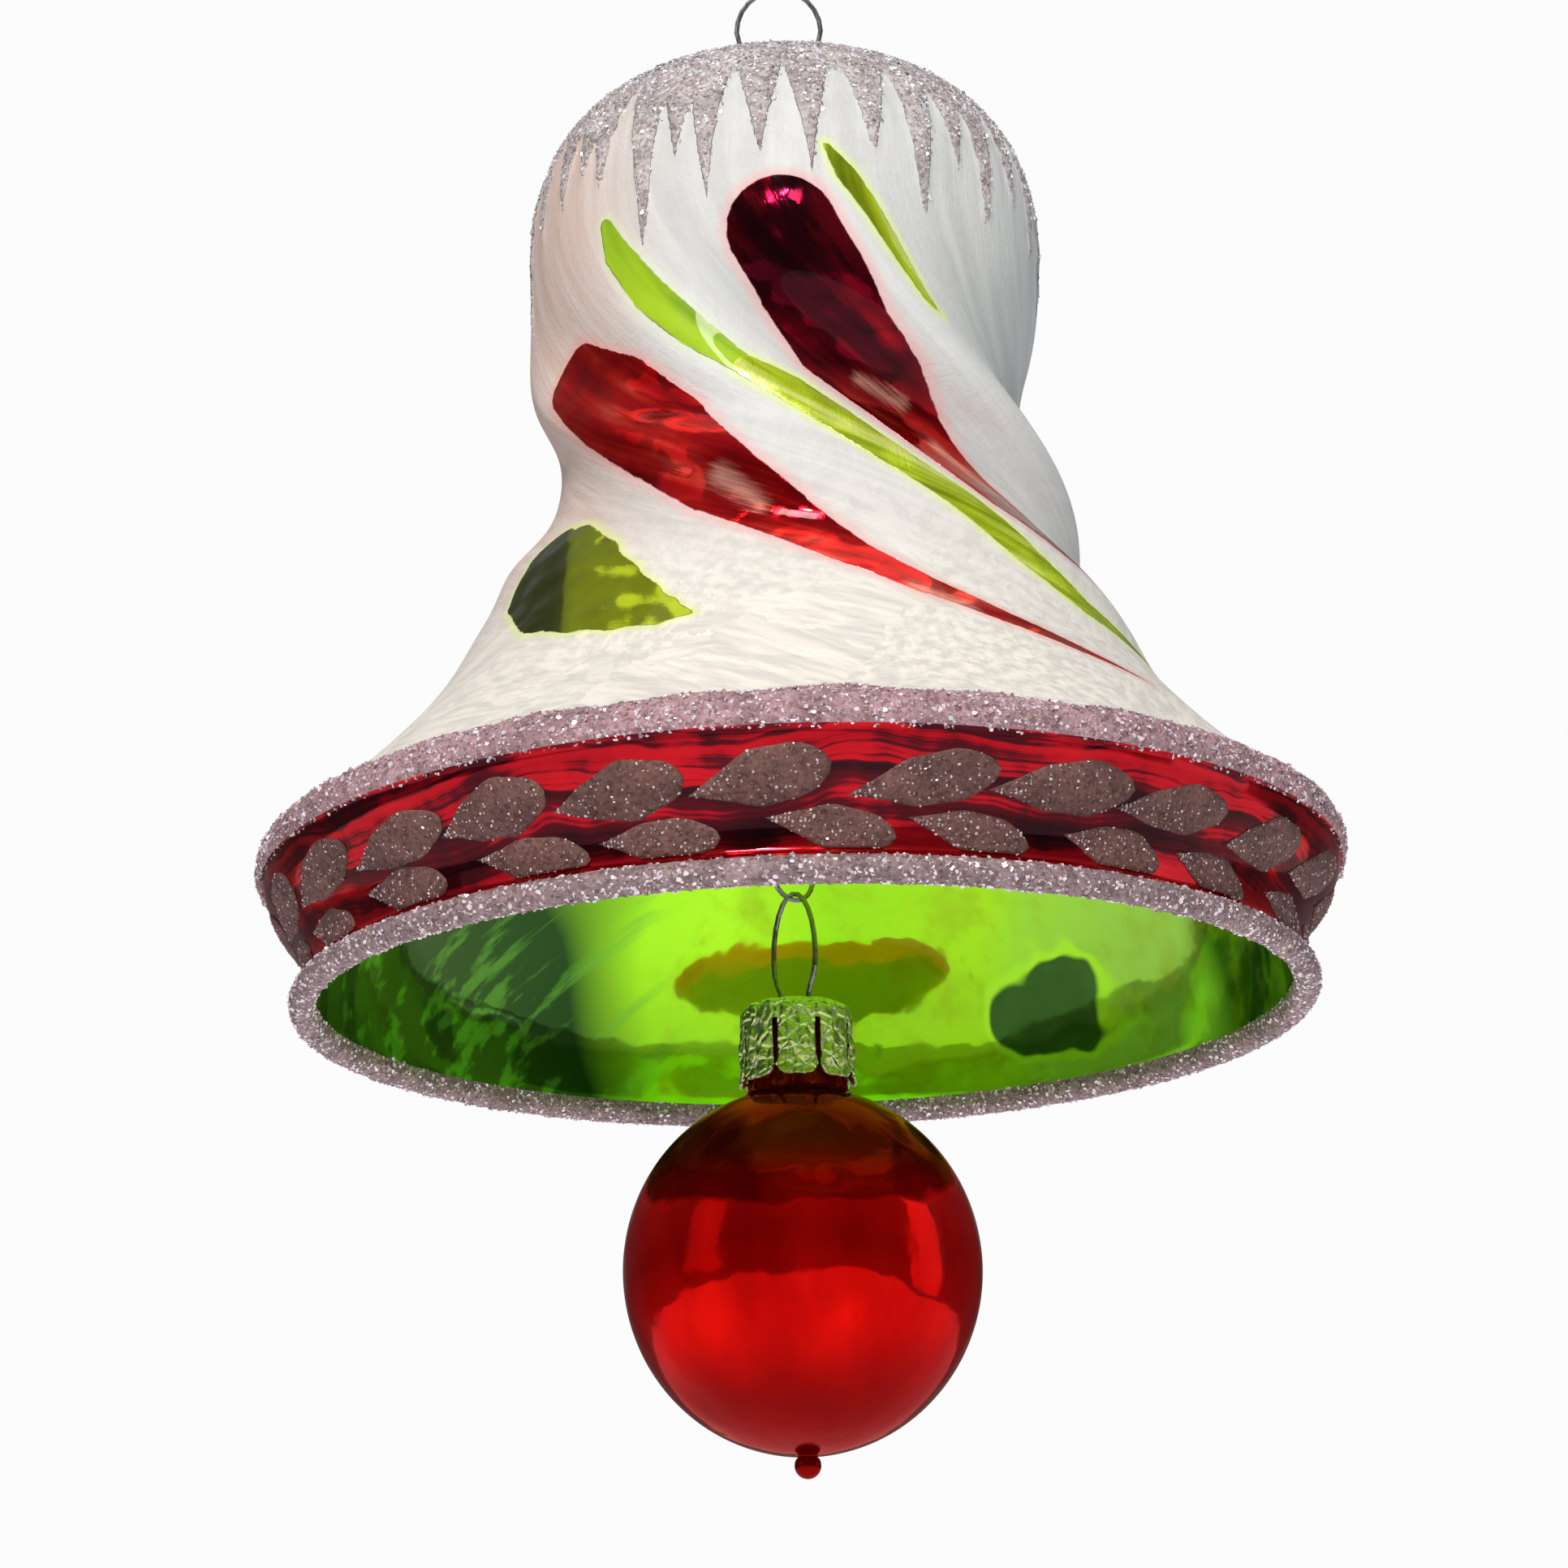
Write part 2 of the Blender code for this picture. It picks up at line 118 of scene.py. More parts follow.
def ramp(tree, factor, stops):
    node = addNode(tree, "ValToRGB", {"Fac": factor})
    while len(node.color_ramp.elements) < len(stops):
        node.color_ramp.elements.new(0.5)
    for element, (place, color) in zip(node.color_ramp.elements, stops):
        element.position = place
        element.color = (*color, 1.0)
    return node.outputs["Color"]


def stretched(tree, vector, scale):
    return addNode(tree, "Mapping", {"Vector": vector, "Scale": scale}).outputs[0]


def enlarged(tree, vector, scale):
    return addNode(tree, "VectorMath", {0: vector, "Scale": scale}, operation="SCALE").outputs[0]


def axisOf(tree, vector, axis):
    return addNode(tree, "SeparateXYZ", {"Vector": vector}).outputs[axis]


def attribute(tree, name, output="Fac"):
    return addNode(tree, "Attribute", attribute_name=name).outputs[output]


def places(tree):
    # object space in millimetres
    return enlarged(tree, addNode(tree, "TexCoord").outputs["Object"], 1000.0)


def noiseOf(tree, vector, scale, detail=3.0, rough=0.5, output="Fac"):
    values = {"Vector": vector, "Scale": scale, "Detail": detail, "Roughness": rough}
    return addNode(tree, "TexNoise", values).outputs[output]


def pushed(tree, vector, here, amount, scale, detail, rough):
    # a vector shifted by coloured noise, so that a pattern drawn with it bends
    shift = enlarged(tree, noiseOf(tree, here, scale, detail, rough, "Color"), amount)
    return addNode(tree, "VectorMath", {0: vector, 1: shift}, operation="ADD").outputs[0]


def waver(tree, vector, amount, scale, detail=3.0, rough=0.5):
    # noise that swings to both sides of zero
    return times(tree, calc(tree, "SUBTRACT", noiseOf(tree, vector, scale, detail, rough), 0.5), amount)


def bumped(tree, height, distance, strength=1.0):
    values = {"Height": height, "Distance": distance, "Strength": strength}
    return addNode(tree, "Bump", values).outputs[0]


def newMaterial(name):
    material = bpy.data.materials.new(name)
    material.use_nodes = True
    return material, material.node_tree, material.node_tree.nodes["Principled BSDF"]


number, vector, color = "NodeSocketFloat", "NodeSocketVector", "NodeSocketColor"


def newGroup(name, inputs, outputs):
    group = bpy.data.node_groups.new(name, "ShaderNodeTree")
    for label, (kind, value) in inputs.items():
        socket = group.interface.new_socket(label, in_out="INPUT", socket_type=kind)
        if value is not None:
            socket.default_value = value
    for label, kind in outputs.items():
        group.interface.new_socket(label, in_out="OUTPUT", socket_type=kind)
    return group, group.nodes.new("NodeGroupInput").outputs, group.nodes.new("NodeGroupOutput")


def placeGroup(tree, group, values):
    return addNode(tree, "Group", values, node_tree=group).outputs


# Effects that several finishes share


def makeGlitterGrain():
    # packed glitter: small cells, each with its own tint and tilt
    inputs = {
        "Vector": (vector, None),
        "Scale": (number, 4.0),
        "Shine": (number, 0.5),
        "Tint": (color, (1.0, 1.0, 1.0, 1.0)),
    }
    outputs = {"Color": color, "Roughness": number, "Height": number}
    group, given, out = newGroup("glitterGrain", inputs, outputs)
    cells = addNode(group, "TexVoronoi", {"Vector": given["Vector"], "Scale": given["Scale"]})
    pick = addNode(group, "SeparateColor", {"Color": cells.outputs["Color"]}).outputs
    tints = ramp(
        group,
        pick["Red"],
        (
            (0.0, (0.46, 0.39, 0.40)), (0.25, (0.70, 0.62, 0.63)), (0.55, (0.86, 0.79, 0.80)),
            (0.78, (0.93, 0.88, 0.89)), (0.90, (0.90, 0.90, 0.95)), (1.0, (1.0, 0.99, 0.99)),
        ),
    )
    shade = remap(group, noiseOf(group, given["Vector"], 0.35, 2.0), 0.3, 0.75, 0.72, 1.12)
    gray = addNode(group, "CombineColor", {0: shade, 1: shade, 2: shade}).outputs[0]
    clouded = blendColors(group, 1.0, tints, gray, "MULTIPLY")
    spread = calc(group, "SUBTRACT", 0.85, given["Shine"])
    lumps = noiseOf(group, given["Vector"], 2.6, 3.0, 0.6)
    results = {
        "Color": blendColors(group, 1.0, clouded, given["Tint"], "MULTIPLY"),
        "Roughness": plus(group, times(group, pick["Green"], spread), 0.5),
        "Height": plus(group, times(group, pick["Blue"], 0.6), lumps),
    }
    fill(group, out, results)
    return group


def makeBrushStreaks():
    # long soft streaks along the Z of the vector that comes in
    inputs = {
        "Vector": (vector, None),
        "Scale": (number, 1.0),
        "Stretch": (number, 0.1),
        "Contrast": (number, 0.2),
    }
    group, given, out = newGroup("brushStreaks", inputs, {"Streak": number, "Fine": number})
    sizes = {"X": given["Scale"], "Y": given["Scale"], "Z": given["Stretch"]}
    squeeze = addNode(group, "CombineXYZ", sizes).outputs[0]
    values = {0: given["Vector"], 1: squeeze}
    along = addNode(group, "VectorMath", values, operation="MULTIPLY").outputs[0]
    low = calc(group, "SUBTRACT", 0.5, given["Contrast"])
    high = plus(group, 0.5, given["Contrast"])
    streak = remap(group, noiseOf(group, along, 1.0, 4.0, 0.55), low, high)
    fill(group, out, {"Streak": streak, "Fine": noiseOf(group, along, 4.0, 3.0, 0.6)})
    return group


def makeBlownGlass():
    # the slow unevenness of hand-blown glass, with a few fine draw lines
    inputs = {"Vector": (vector, None), "Scale": (number, 0.1), "Lines": (number, 0.15)}
    group, given, out = newGroup("blownGlass", inputs, {"Height": number, "Cloud": number})
    slow = noiseOf(group, given["Vector"], given["Scale"], 2.0, 0.4)
    fine = times(group, noiseOf(group, given["Vector"], 0.5, 1.0, 0.4), given["Lines"])
    cloud = noiseOf(group, given["Vector"], 0.12, 3.0, 0.6)
    fill(group, out, {"Height": plus(group, slow, fine), "Cloud": cloud})
    return group


glitterGrain = makeGlitterGrain()
brushStreaks = makeBrushStreaks()
blownGlass = makeBlownGlass()


# Mesh helpers


def bezier(a, b, c, d, steps):
    t = np.linspace(0, 1, steps + 1)[:, None]
    a, b, c, d = (np.array(p) for p in (a, b, c, d))
    return (1 - t) ** 3 * a + 3 * (1 - t) ** 2 * t * b + 3 * (1 - t) * t**2 * c + t**3 * d


def arc(centre, radius, start, end, steps):
    turn = np.radians(np.linspace(start, end, steps + 1))
    return np.stack([centre[0] + radius * np.cos(turn), centre[1] + radius * np.sin(turn)], axis=1)


def squareArc(wide, high, squareness, angle):
    # a quarter ellipse with a fuller corner
    power = 2 / squareness
    return np.stack([wide * np.cos(angle) ** power, high * np.sin(angle) ** power], axis=1)


def inset(points, distance):
    along = np.gradient(points, axis=0)
    along /= np.linalg.norm(along, axis=1)[:, None]
    return points + np.stack([along[:, 1], -along[:, 0]], axis=1) * distance


def travelled(profile):
    # the way along a profile at each of its points
    return np.concatenate([[0], np.cumsum(np.linalg.norm(np.diff(profile, axis=0), axis=1))])


def turned(radius, turn, height):
    # points at this radius and height, turned from the front about the upright axis
    radius, turn, height = np.broadcast_arrays(radius, turn, height)
    return np.stack([radius * np.sin(turn), -radius * np.cos(turn), height], axis=-1)


def wrapFaces(rows, columns):
    # quads over a grid that closes on itself both ways, as rows, columns and corners
    index = np.arange(rows * columns).reshape(rows, columns)
    below = np.roll(index, -1, axis=0)
    return np.stack([index, below, np.roll(below, -1, axis=1), np.roll(index, -1, axis=1)], axis=2)


def smoothStep(value, low, high):
    t = np.clip((value - low) / (high - low), 0, 1)
    return t * t * (3 - 2 * t)


def meshObject(name, points, faces, materials, body, slots=None, smooth=True):
    mesh = bpy.data.meshes.new(name)
    mesh.from_pydata(np.asarray(points).tolist(), [], faces)
    for material in materials:
        mesh.materials.append(material)
    if slots is not None:
        mesh.polygons.foreach_set("material_index", slots)
    if smooth:
        mesh.shade_smooth()
    obj = bpy.data.objects.new(name, mesh)
    bpy.context.scene.collection.objects.link(obj)
    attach(obj, body)
    return obj


def storeValues(obj, name, values, kind="FLOAT"):
    layer = obj.data.attributes.new(name, kind, "POINT")
    layer.data.foreach_set("value" if kind == "FLOAT" else "vector", np.asarray(values, np.float32).ravel())


def lumpy(points, scale, octaves=2):
    # one noise value for each point, points in metres, scale in 1/m
    return np.array([noise.fractal(Vector(p) * scale, 1.0, 2.0, octaves) for p in points])


# Chips of glitter: low pyramids that stand at their own tilts, all in one mesh

chip = {"corners": 5, "tilt": 0.55, "rise": 0.18, "sink": 0.62}


def glitterChips(name, points, normals, sizes, material, tilt):
    count, corners = len(points), chip["corners"]
    lean = normals + dice.normal(0, tilt, (count, 3))
    lean /= np.linalg.norm(lean, axis=1)[:, None]
    side = np.cross(lean, dice.normal(0, 1, (count, 3)))
    side /= np.linalg.norm(side, axis=1)[:, None]
    across = np.cross(lean, side)
    ring = []
    for i in range(corners):
        turn = 2 * math.pi * i / corners + dice.uniform(-0.3, 0.3, count)
        reach = sizes * dice.uniform(0.75, 1.1, count)
        corner = points + side * (reach * np.cos(turn))[:, None] + across * (reach * np.sin(turn))[:, None]
        ring.append(corner + lean * (sizes * chip["rise"])[:, None])
    foot = points - lean * (sizes * chip["sink"])[:, None]
    block = np.stack([*ring, foot], axis=1).reshape(-1, 3)
    faces = []
    for k in range(0, len(block), corners + 1):
        faces.append(tuple(range(k, k + corners)))
        faces += [(k + (j + 1) % corners, k + j, k + corners) for j in range(corners)]
    obj = meshObject(name, block, faces, [material], "bell", smooth=False)
    storeValues(obj, "tint", np.repeat(dice.uniform(0, 1, count), corners + 1))


def makeGlitterChip(name, tint):
    material, tree, shader = newMaterial(name)
    sparkle = ramp(
        tree,
        attribute(tree, "tint"),
        (
            (0.0, (0.22, 0.16, 0.17)), (0.25, (0.44, 0.36, 0.38)), (0.45, (0.72, 0.64, 0.67)),
            (0.62, (0.80, 0.78, 0.92)), (0.76, (0.98, 0.96, 0.97)), (0.88, (0.66, 0.84, 0.95)),
            (1.0, (0.98, 0.93, 0.86)),
        ),
    )
    tinted = blendColors(tree, 1.0, sparkle, tint, "MULTIPLY")
    scratch = noiseOf(tree, places(tree), 9.0, 2.0)
    worn = remap(tree, scratch, 0.35, 0.7, 0.0, 0.25)
    looks = {
        "Base Color": blendColors(tree, worn, tinted, (1.0, 0.96, 0.98)),
        "Roughness": remap(tree, scratch, 0.3, 0.7, 0.16, 0.34),
        "Metallic": 0.3,
    }
    fill(tree, shader, looks)
    return material


def makeGlitterCoat(name, tint):
    material, tree, shader = newMaterial(name)
    settings = {"Vector": places(tree), "Scale": 3.6, "Shine": 0.45, "Tint": (*tint, 1.0)}
    grain = placeGroup(tree, glitterGrain, settings)
    looks = {
        "Base Color": grain["Color"],
        "Roughness": grain["Roughness"],
        "Normal": bumped(tree, grain["Height"], 0.00022),
        "Metallic": 0.25,
    }
    fill(tree, shader, looks)
    return material


glitterTints = {
    "crown": (0.66, 0.64, 0.63),
    "shoulder": (0.58, 0.39, 0.42),
    "rim": (0.42, 0.32, 0.33),
    "leaf": (0.22, 0.11, 0.095),
    "crownChip": (1.0, 0.98, 0.98),
    "rimChip": (1.0, 0.84, 0.87),
    "leafChip": (0.72, 0.56, 0.56),
}

crownChip = makeGlitterChip("crownGlitterChip", glitterTints["crownChip"])
rimChip = makeGlitterChip("rimGlitterChip", glitterTints["rimChip"])
leafChip = makeGlitterChip("leafGlitterChip", glitterTints["leafChip"])
glitterCoat = makeGlitterCoat("glitterCoat", glitterTints["rim"])
leafCoat = makeGlitterCoat("leafGlitterCoat", glitterTints["leaf"])


# The bell's glass, lengths in metres and heights over the rim

bell = {
    "columns": 300,
    "rimLift": 0.0012,
    "rimRoll": 0.00095,
    "rimStep": 0.0035,
    "creaseHeight": 0.0016,
    "creaseInset": 0.0003,
    "bandCove": 0.0045,
    "shoulderHeight": 0.0112,
    "shoulderRound": 0.0024,
    "skirtHandle": (-0.0118, 0.0088),
    "domeRadius": 0.0225,
    "domeHeight": 0.066,
    "domeRise": 0.0187,
    "domeSquareness": 2.67,
    "domeShare": 0.8,  # of a quarter turn, from its foot up to the dish's lip
    "waistInset": 0.0013,
    "waistHeight": 0.050,
    "dishDepth": 0.0018,
    "neckInset": 0.00083,  # the neck lies this far inside its cap
    "neckGap": 0.0006,
    "wall": 0.0009,
    "hollowFloor": 0.0066,
    "bowlHeight": 0.028,
    "bowlSquareness": 2.3,
    "bowlShare": 0.95,
    "eyeHole": 0.00055,
    "peakReach": 0.015,
    "shoulderCoat": 0.00042,
    "crownCoat": 0.00022,
    "rimCoat": 0.00016,
    "coatLumps": 0.55,
    "lumpScale": 2200,
    "shoulderBand": (9.7, 14.1),  # the shoulder's coat, in mm over the rim
}

# The folds that wind down the body, angles in degrees: ridges are (start, share of the depth, pace)
folds = {
    "depth": 0.0031,
    "mean": 0.45,
    "width": 19.0,
    "spread": 0.9,
    "middle": 0.046,
    "reach": 0.0145,
    "fade": (0.0145, 0.016),
    "swirlTop": 0.068,
    "swirlReach": 0.053,
    "swirlTurn": 270,
    "swirlPower": 1.9,
    "ridges": ((-104, 1.0, 1.2), (-49, 0.9, 0.9), (5, 1.25, 1.13), (108, 0.9, 1.2), (162, 0.9, 1.2)),
}

glassLow, glassHigh = (Vector(corner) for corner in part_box("bell_glass"))
capLow, capHigh = (Vector(corner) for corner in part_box("bell_cap"))
rimZ = glassLow.z + bell["rimLift"]
shoulderRadius = (glassHigh.x - glassLow.x) / 2
rimRadius = shoulderRadius - bell["rimStep"]
neckRadius = (capHigh.x - capLow.x) / 2 - bell["neckInset"]
peakShift = joints["link_swing"]["pos_m"][0]  # the bowl's peak stands a little to the left


def swirlAt(height):
    drop = np.clip((folds["swirlTop"] - height) / folds["swirlReach"], 0, None)
    return folds["swirlTurn"] * drop ** folds["swirlPower"]


def foldRise(angle, height):
    off = (height - folds["middle"]) / folds["reach"]
    width = folds["width"] * (1 + folds["spread"] * np.maximum(-off, 0))
    rise = -folds["mean"]
    for start, share, pace in folds["ridges"]:
        aside = (angle - start - pace * swirlAt(height) + 180) % 360 - 180
        rise = rise + share * np.exp(-((aside / width) ** 2))
    return folds["depth"] * np.exp(-(off**2)) * rise


def outerProfile():
    # dish, dome, waist, skirt and shoulder, then the red band, as (radius, height over the rim)
    wide, high = bell["domeRadius"], bell["domeHeight"]
    angle = bell["domeShare"] * math.pi / 2 * np.linspace(1, 0, 70)
    dome = squareArc(wide, bell["domeRise"], bell["domeSquareness"], angle) + (0, high)
    lip = dome[0]
    floor = high + bell["domeRise"] - bell["dishDepth"]
    dish = bezier((neckRadius + 0.001, floor), (neckRadius + 0.0025, floor), lip + (-0.003, 0.0004), lip, 14)
    waist = np.array((wide - bell["waistInset"], bell["waistHeight"]))
    body = bezier((wide, high), (wide, high - 0.007), waist + (0, 0.006), waist, 36)
    top = np.array((shoulderRadius, bell["shoulderHeight"])) + np.array((-0.62, 0.75)) * bell["shoulderRound"]
    fall = bell["waistHeight"] - bell["shoulderHeight"]
    skirt = bezier(waist, waist - (0, 0.35 * fall), top + bell["skirtHandle"], top, 110)
    centre = (shoulderRadius - bell["shoulderRound"], bell["shoulderHeight"])
    shoulder = arc(centre, bell["shoulderRound"], 35, -12, 12)
    crease = np.array((rimRadius - bell["creaseInset"], bell["creaseHeight"]))
    start = shoulder[-1]
    band = bezier(start, start - (0.0003, 0.0036), crease + (0, bell["bandCove"]), crease, 36)
    return np.concatenate([dish[:-1], dome[:-1], body[:-1], skirt, shoulder]), band[1:]


def wallOutline():
    # the glass as one closed outline: down the skin, round the rim, up the bowl and back inside
    skin, band = outerProfile()
    wall, hole = bell["wall"], bell["eyeHole"]
    outer = np.concatenate([skin, band])
    angle = bell["bowlShare"] * math.pi / 2 * np.linspace(0, 1, 90)[1:]
    bowl = squareArc(rimRadius - bell["rimRoll"], bell["bowlHeight"], bell["bowlSquareness"], angle)
    bowlBack = inset(bowl, wall)[::6]
    lining = inset(outer, wall)[::7]
    neckTop = capHigh.z - rimZ - bell["neckGap"]
    foot = outer[0, 1] + bell["neckGap"]
    return {
        "neck": np.array(((neckRadius, neckTop), (neckRadius, foot))),
        "skin": skin,
        "band": band,
        "rim": arc((rimRadius, 0), bell["rimRoll"], 75, -180, 22),
        "bowl": bowl,
        "hole": np.array(((hole, bell["bowlHeight"]), (hole, bell["bowlHeight"] + wall))),
        "bowlBack": bowlBack[bowlBack[:, 1] > bell["hollowFloor"]][::-1],
        "lining": lining[lining[:, 1] > bell["hollowFloor"]][::-1],
        "bore": np.array(((neckRadius - wall, foot - wall), (neckRadius - wall, neckTop))),
    }


# Painted drops and stripes: each is a spine of (angle from the front, height in mm, half width in mm)

paint = {
    "redLarge": (
        (-1, 61.5, 4.5), (5, 57, 4.4), (12, 52, 4.0), (23, 48, 3.3), (33, 43.5, 2.7),
        (43, 39, 2.3), (55, 36, 1.9), (70, 33.5, 1.4), (86, 31, 0.8), (98, 29.5, 0.1),
    ),
    "redLow": (
        (-56, 52.5, 3.1), (-42, 48.5, 4.2), (-28, 44, 4.0), (-15, 39, 3.2), (-2, 34.8, 2.3),
        (10, 30.6, 1.6), (20, 27.5, 1.3), (31, 24.8, 0.9), (43, 22.5, 0.5), (54, 21, 0.05),
    ),
    "greenTip": ((-42, 64.5, 0.6), (-39, 61.5, 1.25), (-31, 57, 1.5), (-21, 53, 1.35), (-10, 49.4, 0.9)),
    "greenTail": (
        (-9, 49.2, 1.0), (0, 47, 1.35), (10, 44, 1.4), (20, 40.5, 1.45), (32, 36.5, 1.4),
        (43, 32.5, 1.2), (55, 29, 0.9), (68, 27, 0.5), (80, 25.5, 0.05),
    ),
    "greenSprig": (
        (9, 69, 0.2), (13, 66.5, 0.85), (18, 63.7, 0.8), (24, 60, 0.65), (31, 56, 0.4), (35, 54.5, 0.05),
    ),
    "oliveLeaf": (
        (-55, 36.2, 2.2), (-50, 33.6, 4.4), (-41, 30.6, 4.7), (-33, 28.3, 4.0), (-26, 26.4, 3.0),
        (-20, 25, 1.8), (-15, 24.4, 0.3),
    ),
    # painted glints on the red drops, drawn as spines like the paint
    "paintedGlint": (
        ((17, 48.6, 0.35), (27, 47.0, 0.4)),
        ((34, 43.0, 0.5), (45, 39.4, 0.2)),
        ((-14, 38.9, 0.8), (-6, 35.9, 0.5)),
        ((18, 27.1, 0.3), (26, 25.3, 0.4)),
    ),
    "turns": (0, 180),
}

# The icicles below the crown's glitter: tips are (angle from the front, height in mm)
icicles = {
    "front": (
        (-84, 61), (-70, 65), (-58, 67), (-50, 69), (-44, 67), (-32, 59.5), (-24, 69), (-17, 64), (-5, 67.5),
        (6, 66.5), (20, 67.5), (32, 61.5), (42, 69), (51, 62.5), (62, 67), (73, 64), (84, 60.5),
    ),
    "root": 76.5,
    "halfWidth": 4.6,
    "curve": 0.8,
    "slope": 0.45,
    "extra": 15,
}


def icicleTips():
    tips = list(icicles["front"])
    last = tips[-1][0]
    gap = (360 - 2 * last) / (icicles["extra"] + 1)
    for i in range(icicles["extra"]):
        angle = last + gap * (i + 1) + dice.uniform(-2, 2)
        tips.append((angle, dice.choice((60.5, 63.5, 66, 68.5)) + dice.uniform(-1, 1)))
    return tips


def spineDepth(angle, height, spine, turn, radiusAt):
    # how far inside the painted shape a point lies, in mm, negative outside
    best = np.full(angle.shape, -50.0)
    for (a0, h0, w0), (a1, h1, w1) in zip(spine[:-1], spine[1:]):
        middle = 0.5 * (h0 + h1)
        scale = math.radians(1) * radiusAt(middle * mm) / mm
        slope = 1.0 + 0.55 * max(0.0, (32 - middle) / 20)  # the flare lays the skin down
        dx = ((angle - a0 - turn + 180) % 360 - 180) * scale
        dy = (height / mm - h0) * slope
        ax, ay = (a1 - a0) * scale, (h1 - h0) * slope
        t = np.clip((dx * ax + dy * ay) / (ax * ax + ay * ay), 0, 1)
        best = np.maximum(best, w0 + (w1 - w0) * t - np.hypot(dx - t * ax, dy - t * ay))
    return best


def paintDepths(angles, heights, skin):
    fall = skin[np.argmax(skin[:, 1]):]
    radiusAt = lambda h: float(np.interp(-h, -fall[:, 1], fall[:, 0]))

    def deepest(*spines):
        copies = [(spine, turn) for spine in spines for turn in paint["turns"]]
        return np.maximum.reduce([spineDepth(angles, heights, *copy, radiusAt) for copy in copies])

    red, low = deepest(paint["redLarge"], paint["redLow"]), deepest(paint["redLow"])
    return {
        "redDepth": red,
        # painted light: the low drop, and the large drop from about 51 mm down to 44 mm, turn brighter red
        "redPaintedLight": np.where(low > red - 0.01, 1.0, 0.85 * smoothStep(-heights, -0.051, -0.044)),
        "paintedGlintDepth": deepest(*paint["paintedGlint"]),
        "limeDepth": deepest(paint["greenTip"]),
        "greenDepth": deepest(paint["greenTail"], paint["greenSprig"]),
        "oliveDepth": deepest(paint["oliveLeaf"]),
    }


def glitterDepth(angle, height, tips):
    # the crown's coat with its icicles, and the band over the shoulder
    h = height / mm
    edge = np.full(angle.shape, icicles["root"] + 0.9)
    for place, tip in tips:
        off = np.abs((angle - place + 180) % 360 - 180) / icicles["halfWidth"]
        edge = np.minimum(edge, tip + (icicles["root"] - tip) * np.clip(off, 0, 1.4) ** icicles["curve"])
    wave = 0.25 * np.sin(np.radians(angle) * 23) + 0.2 * np.sin(np.radians(angle) * 9 + 1)
    low, high = bell["shoulderBand"]
    return (h - edge) * icicles["slope"], np.minimum(h - low, high + wave - h)


def buildBell():
    parts = wallOutline()
    kinds = np.repeat(list(parts), [len(part) for part in parts.values()])
    profile = np.concatenate(list(parts.values()))
    rows, columns = len(profile), bell["columns"]
    angles = np.broadcast_to(np.linspace(-180, 180, columns, endpoint=False), (rows, columns))
    radii = np.repeat(profile[:, :1], columns, axis=1)
    heights = np.repeat(profile[:, 1:], columns, axis=1)
    folded = np.isin(kinds, ("skin", "lining"))
    radii[folded] += foldRise(angles[folded], heights[folded]) * smoothStep(heights[folded], *folds["fade"])
    grid = turned(radii, np.radians(angles), heights)
    peaked = np.isin(kinds, ("bowl", "hole", "bowlBack"))
    lean = np.clip(1 - (radii - bell["eyeHole"]) / bell["peakReach"], 0, 1)
    grid[peaked, :, 0] += peakShift * lean[peaked]
    around = np.roll(grid, -1, axis=1) - np.roll(grid, 1, axis=1)
    down = np.roll(grid, -1, axis=0) - np.roll(grid, 1, axis=0)
    normals = np.cross(down, around)
    normals /= np.maximum(np.linalg.norm(normals, axis=2)[:, :, None], 1e-12)
    crown, shoulder = glitterDepth(angles, heights, icicleTips())
    crown[kinds != "skin"] = -9
    shoulder[kinds != "skin"] = -9
    shoulder[np.argmax(kinds == "band")] = 0.3  # the coat ends on the band's first row
    coat = bell["shoulderCoat"] * smoothStep(shoulder, -0.1, 0.9)
    coat += bell["crownCoat"] * smoothStep(crown, -0.1, 0.5)
    coat[kinds == "rim"] = bell["rimCoat"]
    rough = coat > 0.00002
    coat[rough] *= 1 + bell["coatLumps"] * lumpy(grid[rough], bell["lumpScale"])
    grid += normals * coat[:, :, None]
    grid[:, :, 2] += rimZ
    slotOf = {"skin": 0, "band": 1, "rim": 2, "bowl": 3, "hole": 3}
    slots = np.repeat([slotOf.get(kind, 4) for kind in kinds], columns)
    materials = [frostLacquer, redMirror, glitterCoat, greenMirror, innerSilver]
    faces = wrapFaces(rows, columns).reshape(-1, 4).tolist()
    obj = meshObject("bellGlassBlown", grid.reshape(-1, 3), faces, materials, "bell", slots)
    values = {
        **paintDepths(angles, heights, parts["skin"]),
        "crownDepth": crown,
        "shoulderDepth": shoulder,
        "foldShade": foldRise(angles, heights) / folds["depth"],
    }
    for name, depth in values.items():
        storeValues(obj, name, depth)
    flow = turned(radii, np.radians(angles - 0.9 * swirlAt(heights)), heights) / mm
    storeValues(obj, "flow", flow, "FLOAT_VECTOR")
    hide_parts("bell_glass")
    return {
        "grid": grid,
        "normals": normals,
        "kinds": kinds,
        "crown": crown,
        "shoulder": shoulder,
        "heights": heights,
        "band": parts["band"],
    }


# White frost lacquer with feathery crystals, and the glossy lacquers painted over it

frost = {
    "paintedFoldShade": (0.30, 0.32, 0.335),
    "paintedRidgeLight": (0.62, 0.63, 0.635),
    "paintedShadeLeft": (0.64, 0.42, 0.34),
    "paintedShadeRight": (0.66, 0.685, 0.66),
    "paintedWarmLightSkirt": (0.90, 0.845, 0.755),
    "plate": (0.62, 0.64, 0.66),
    "stroke": (0.50, 0.48, 0.46),
    "sweep": (0.98, 0.98, 0.98),
}

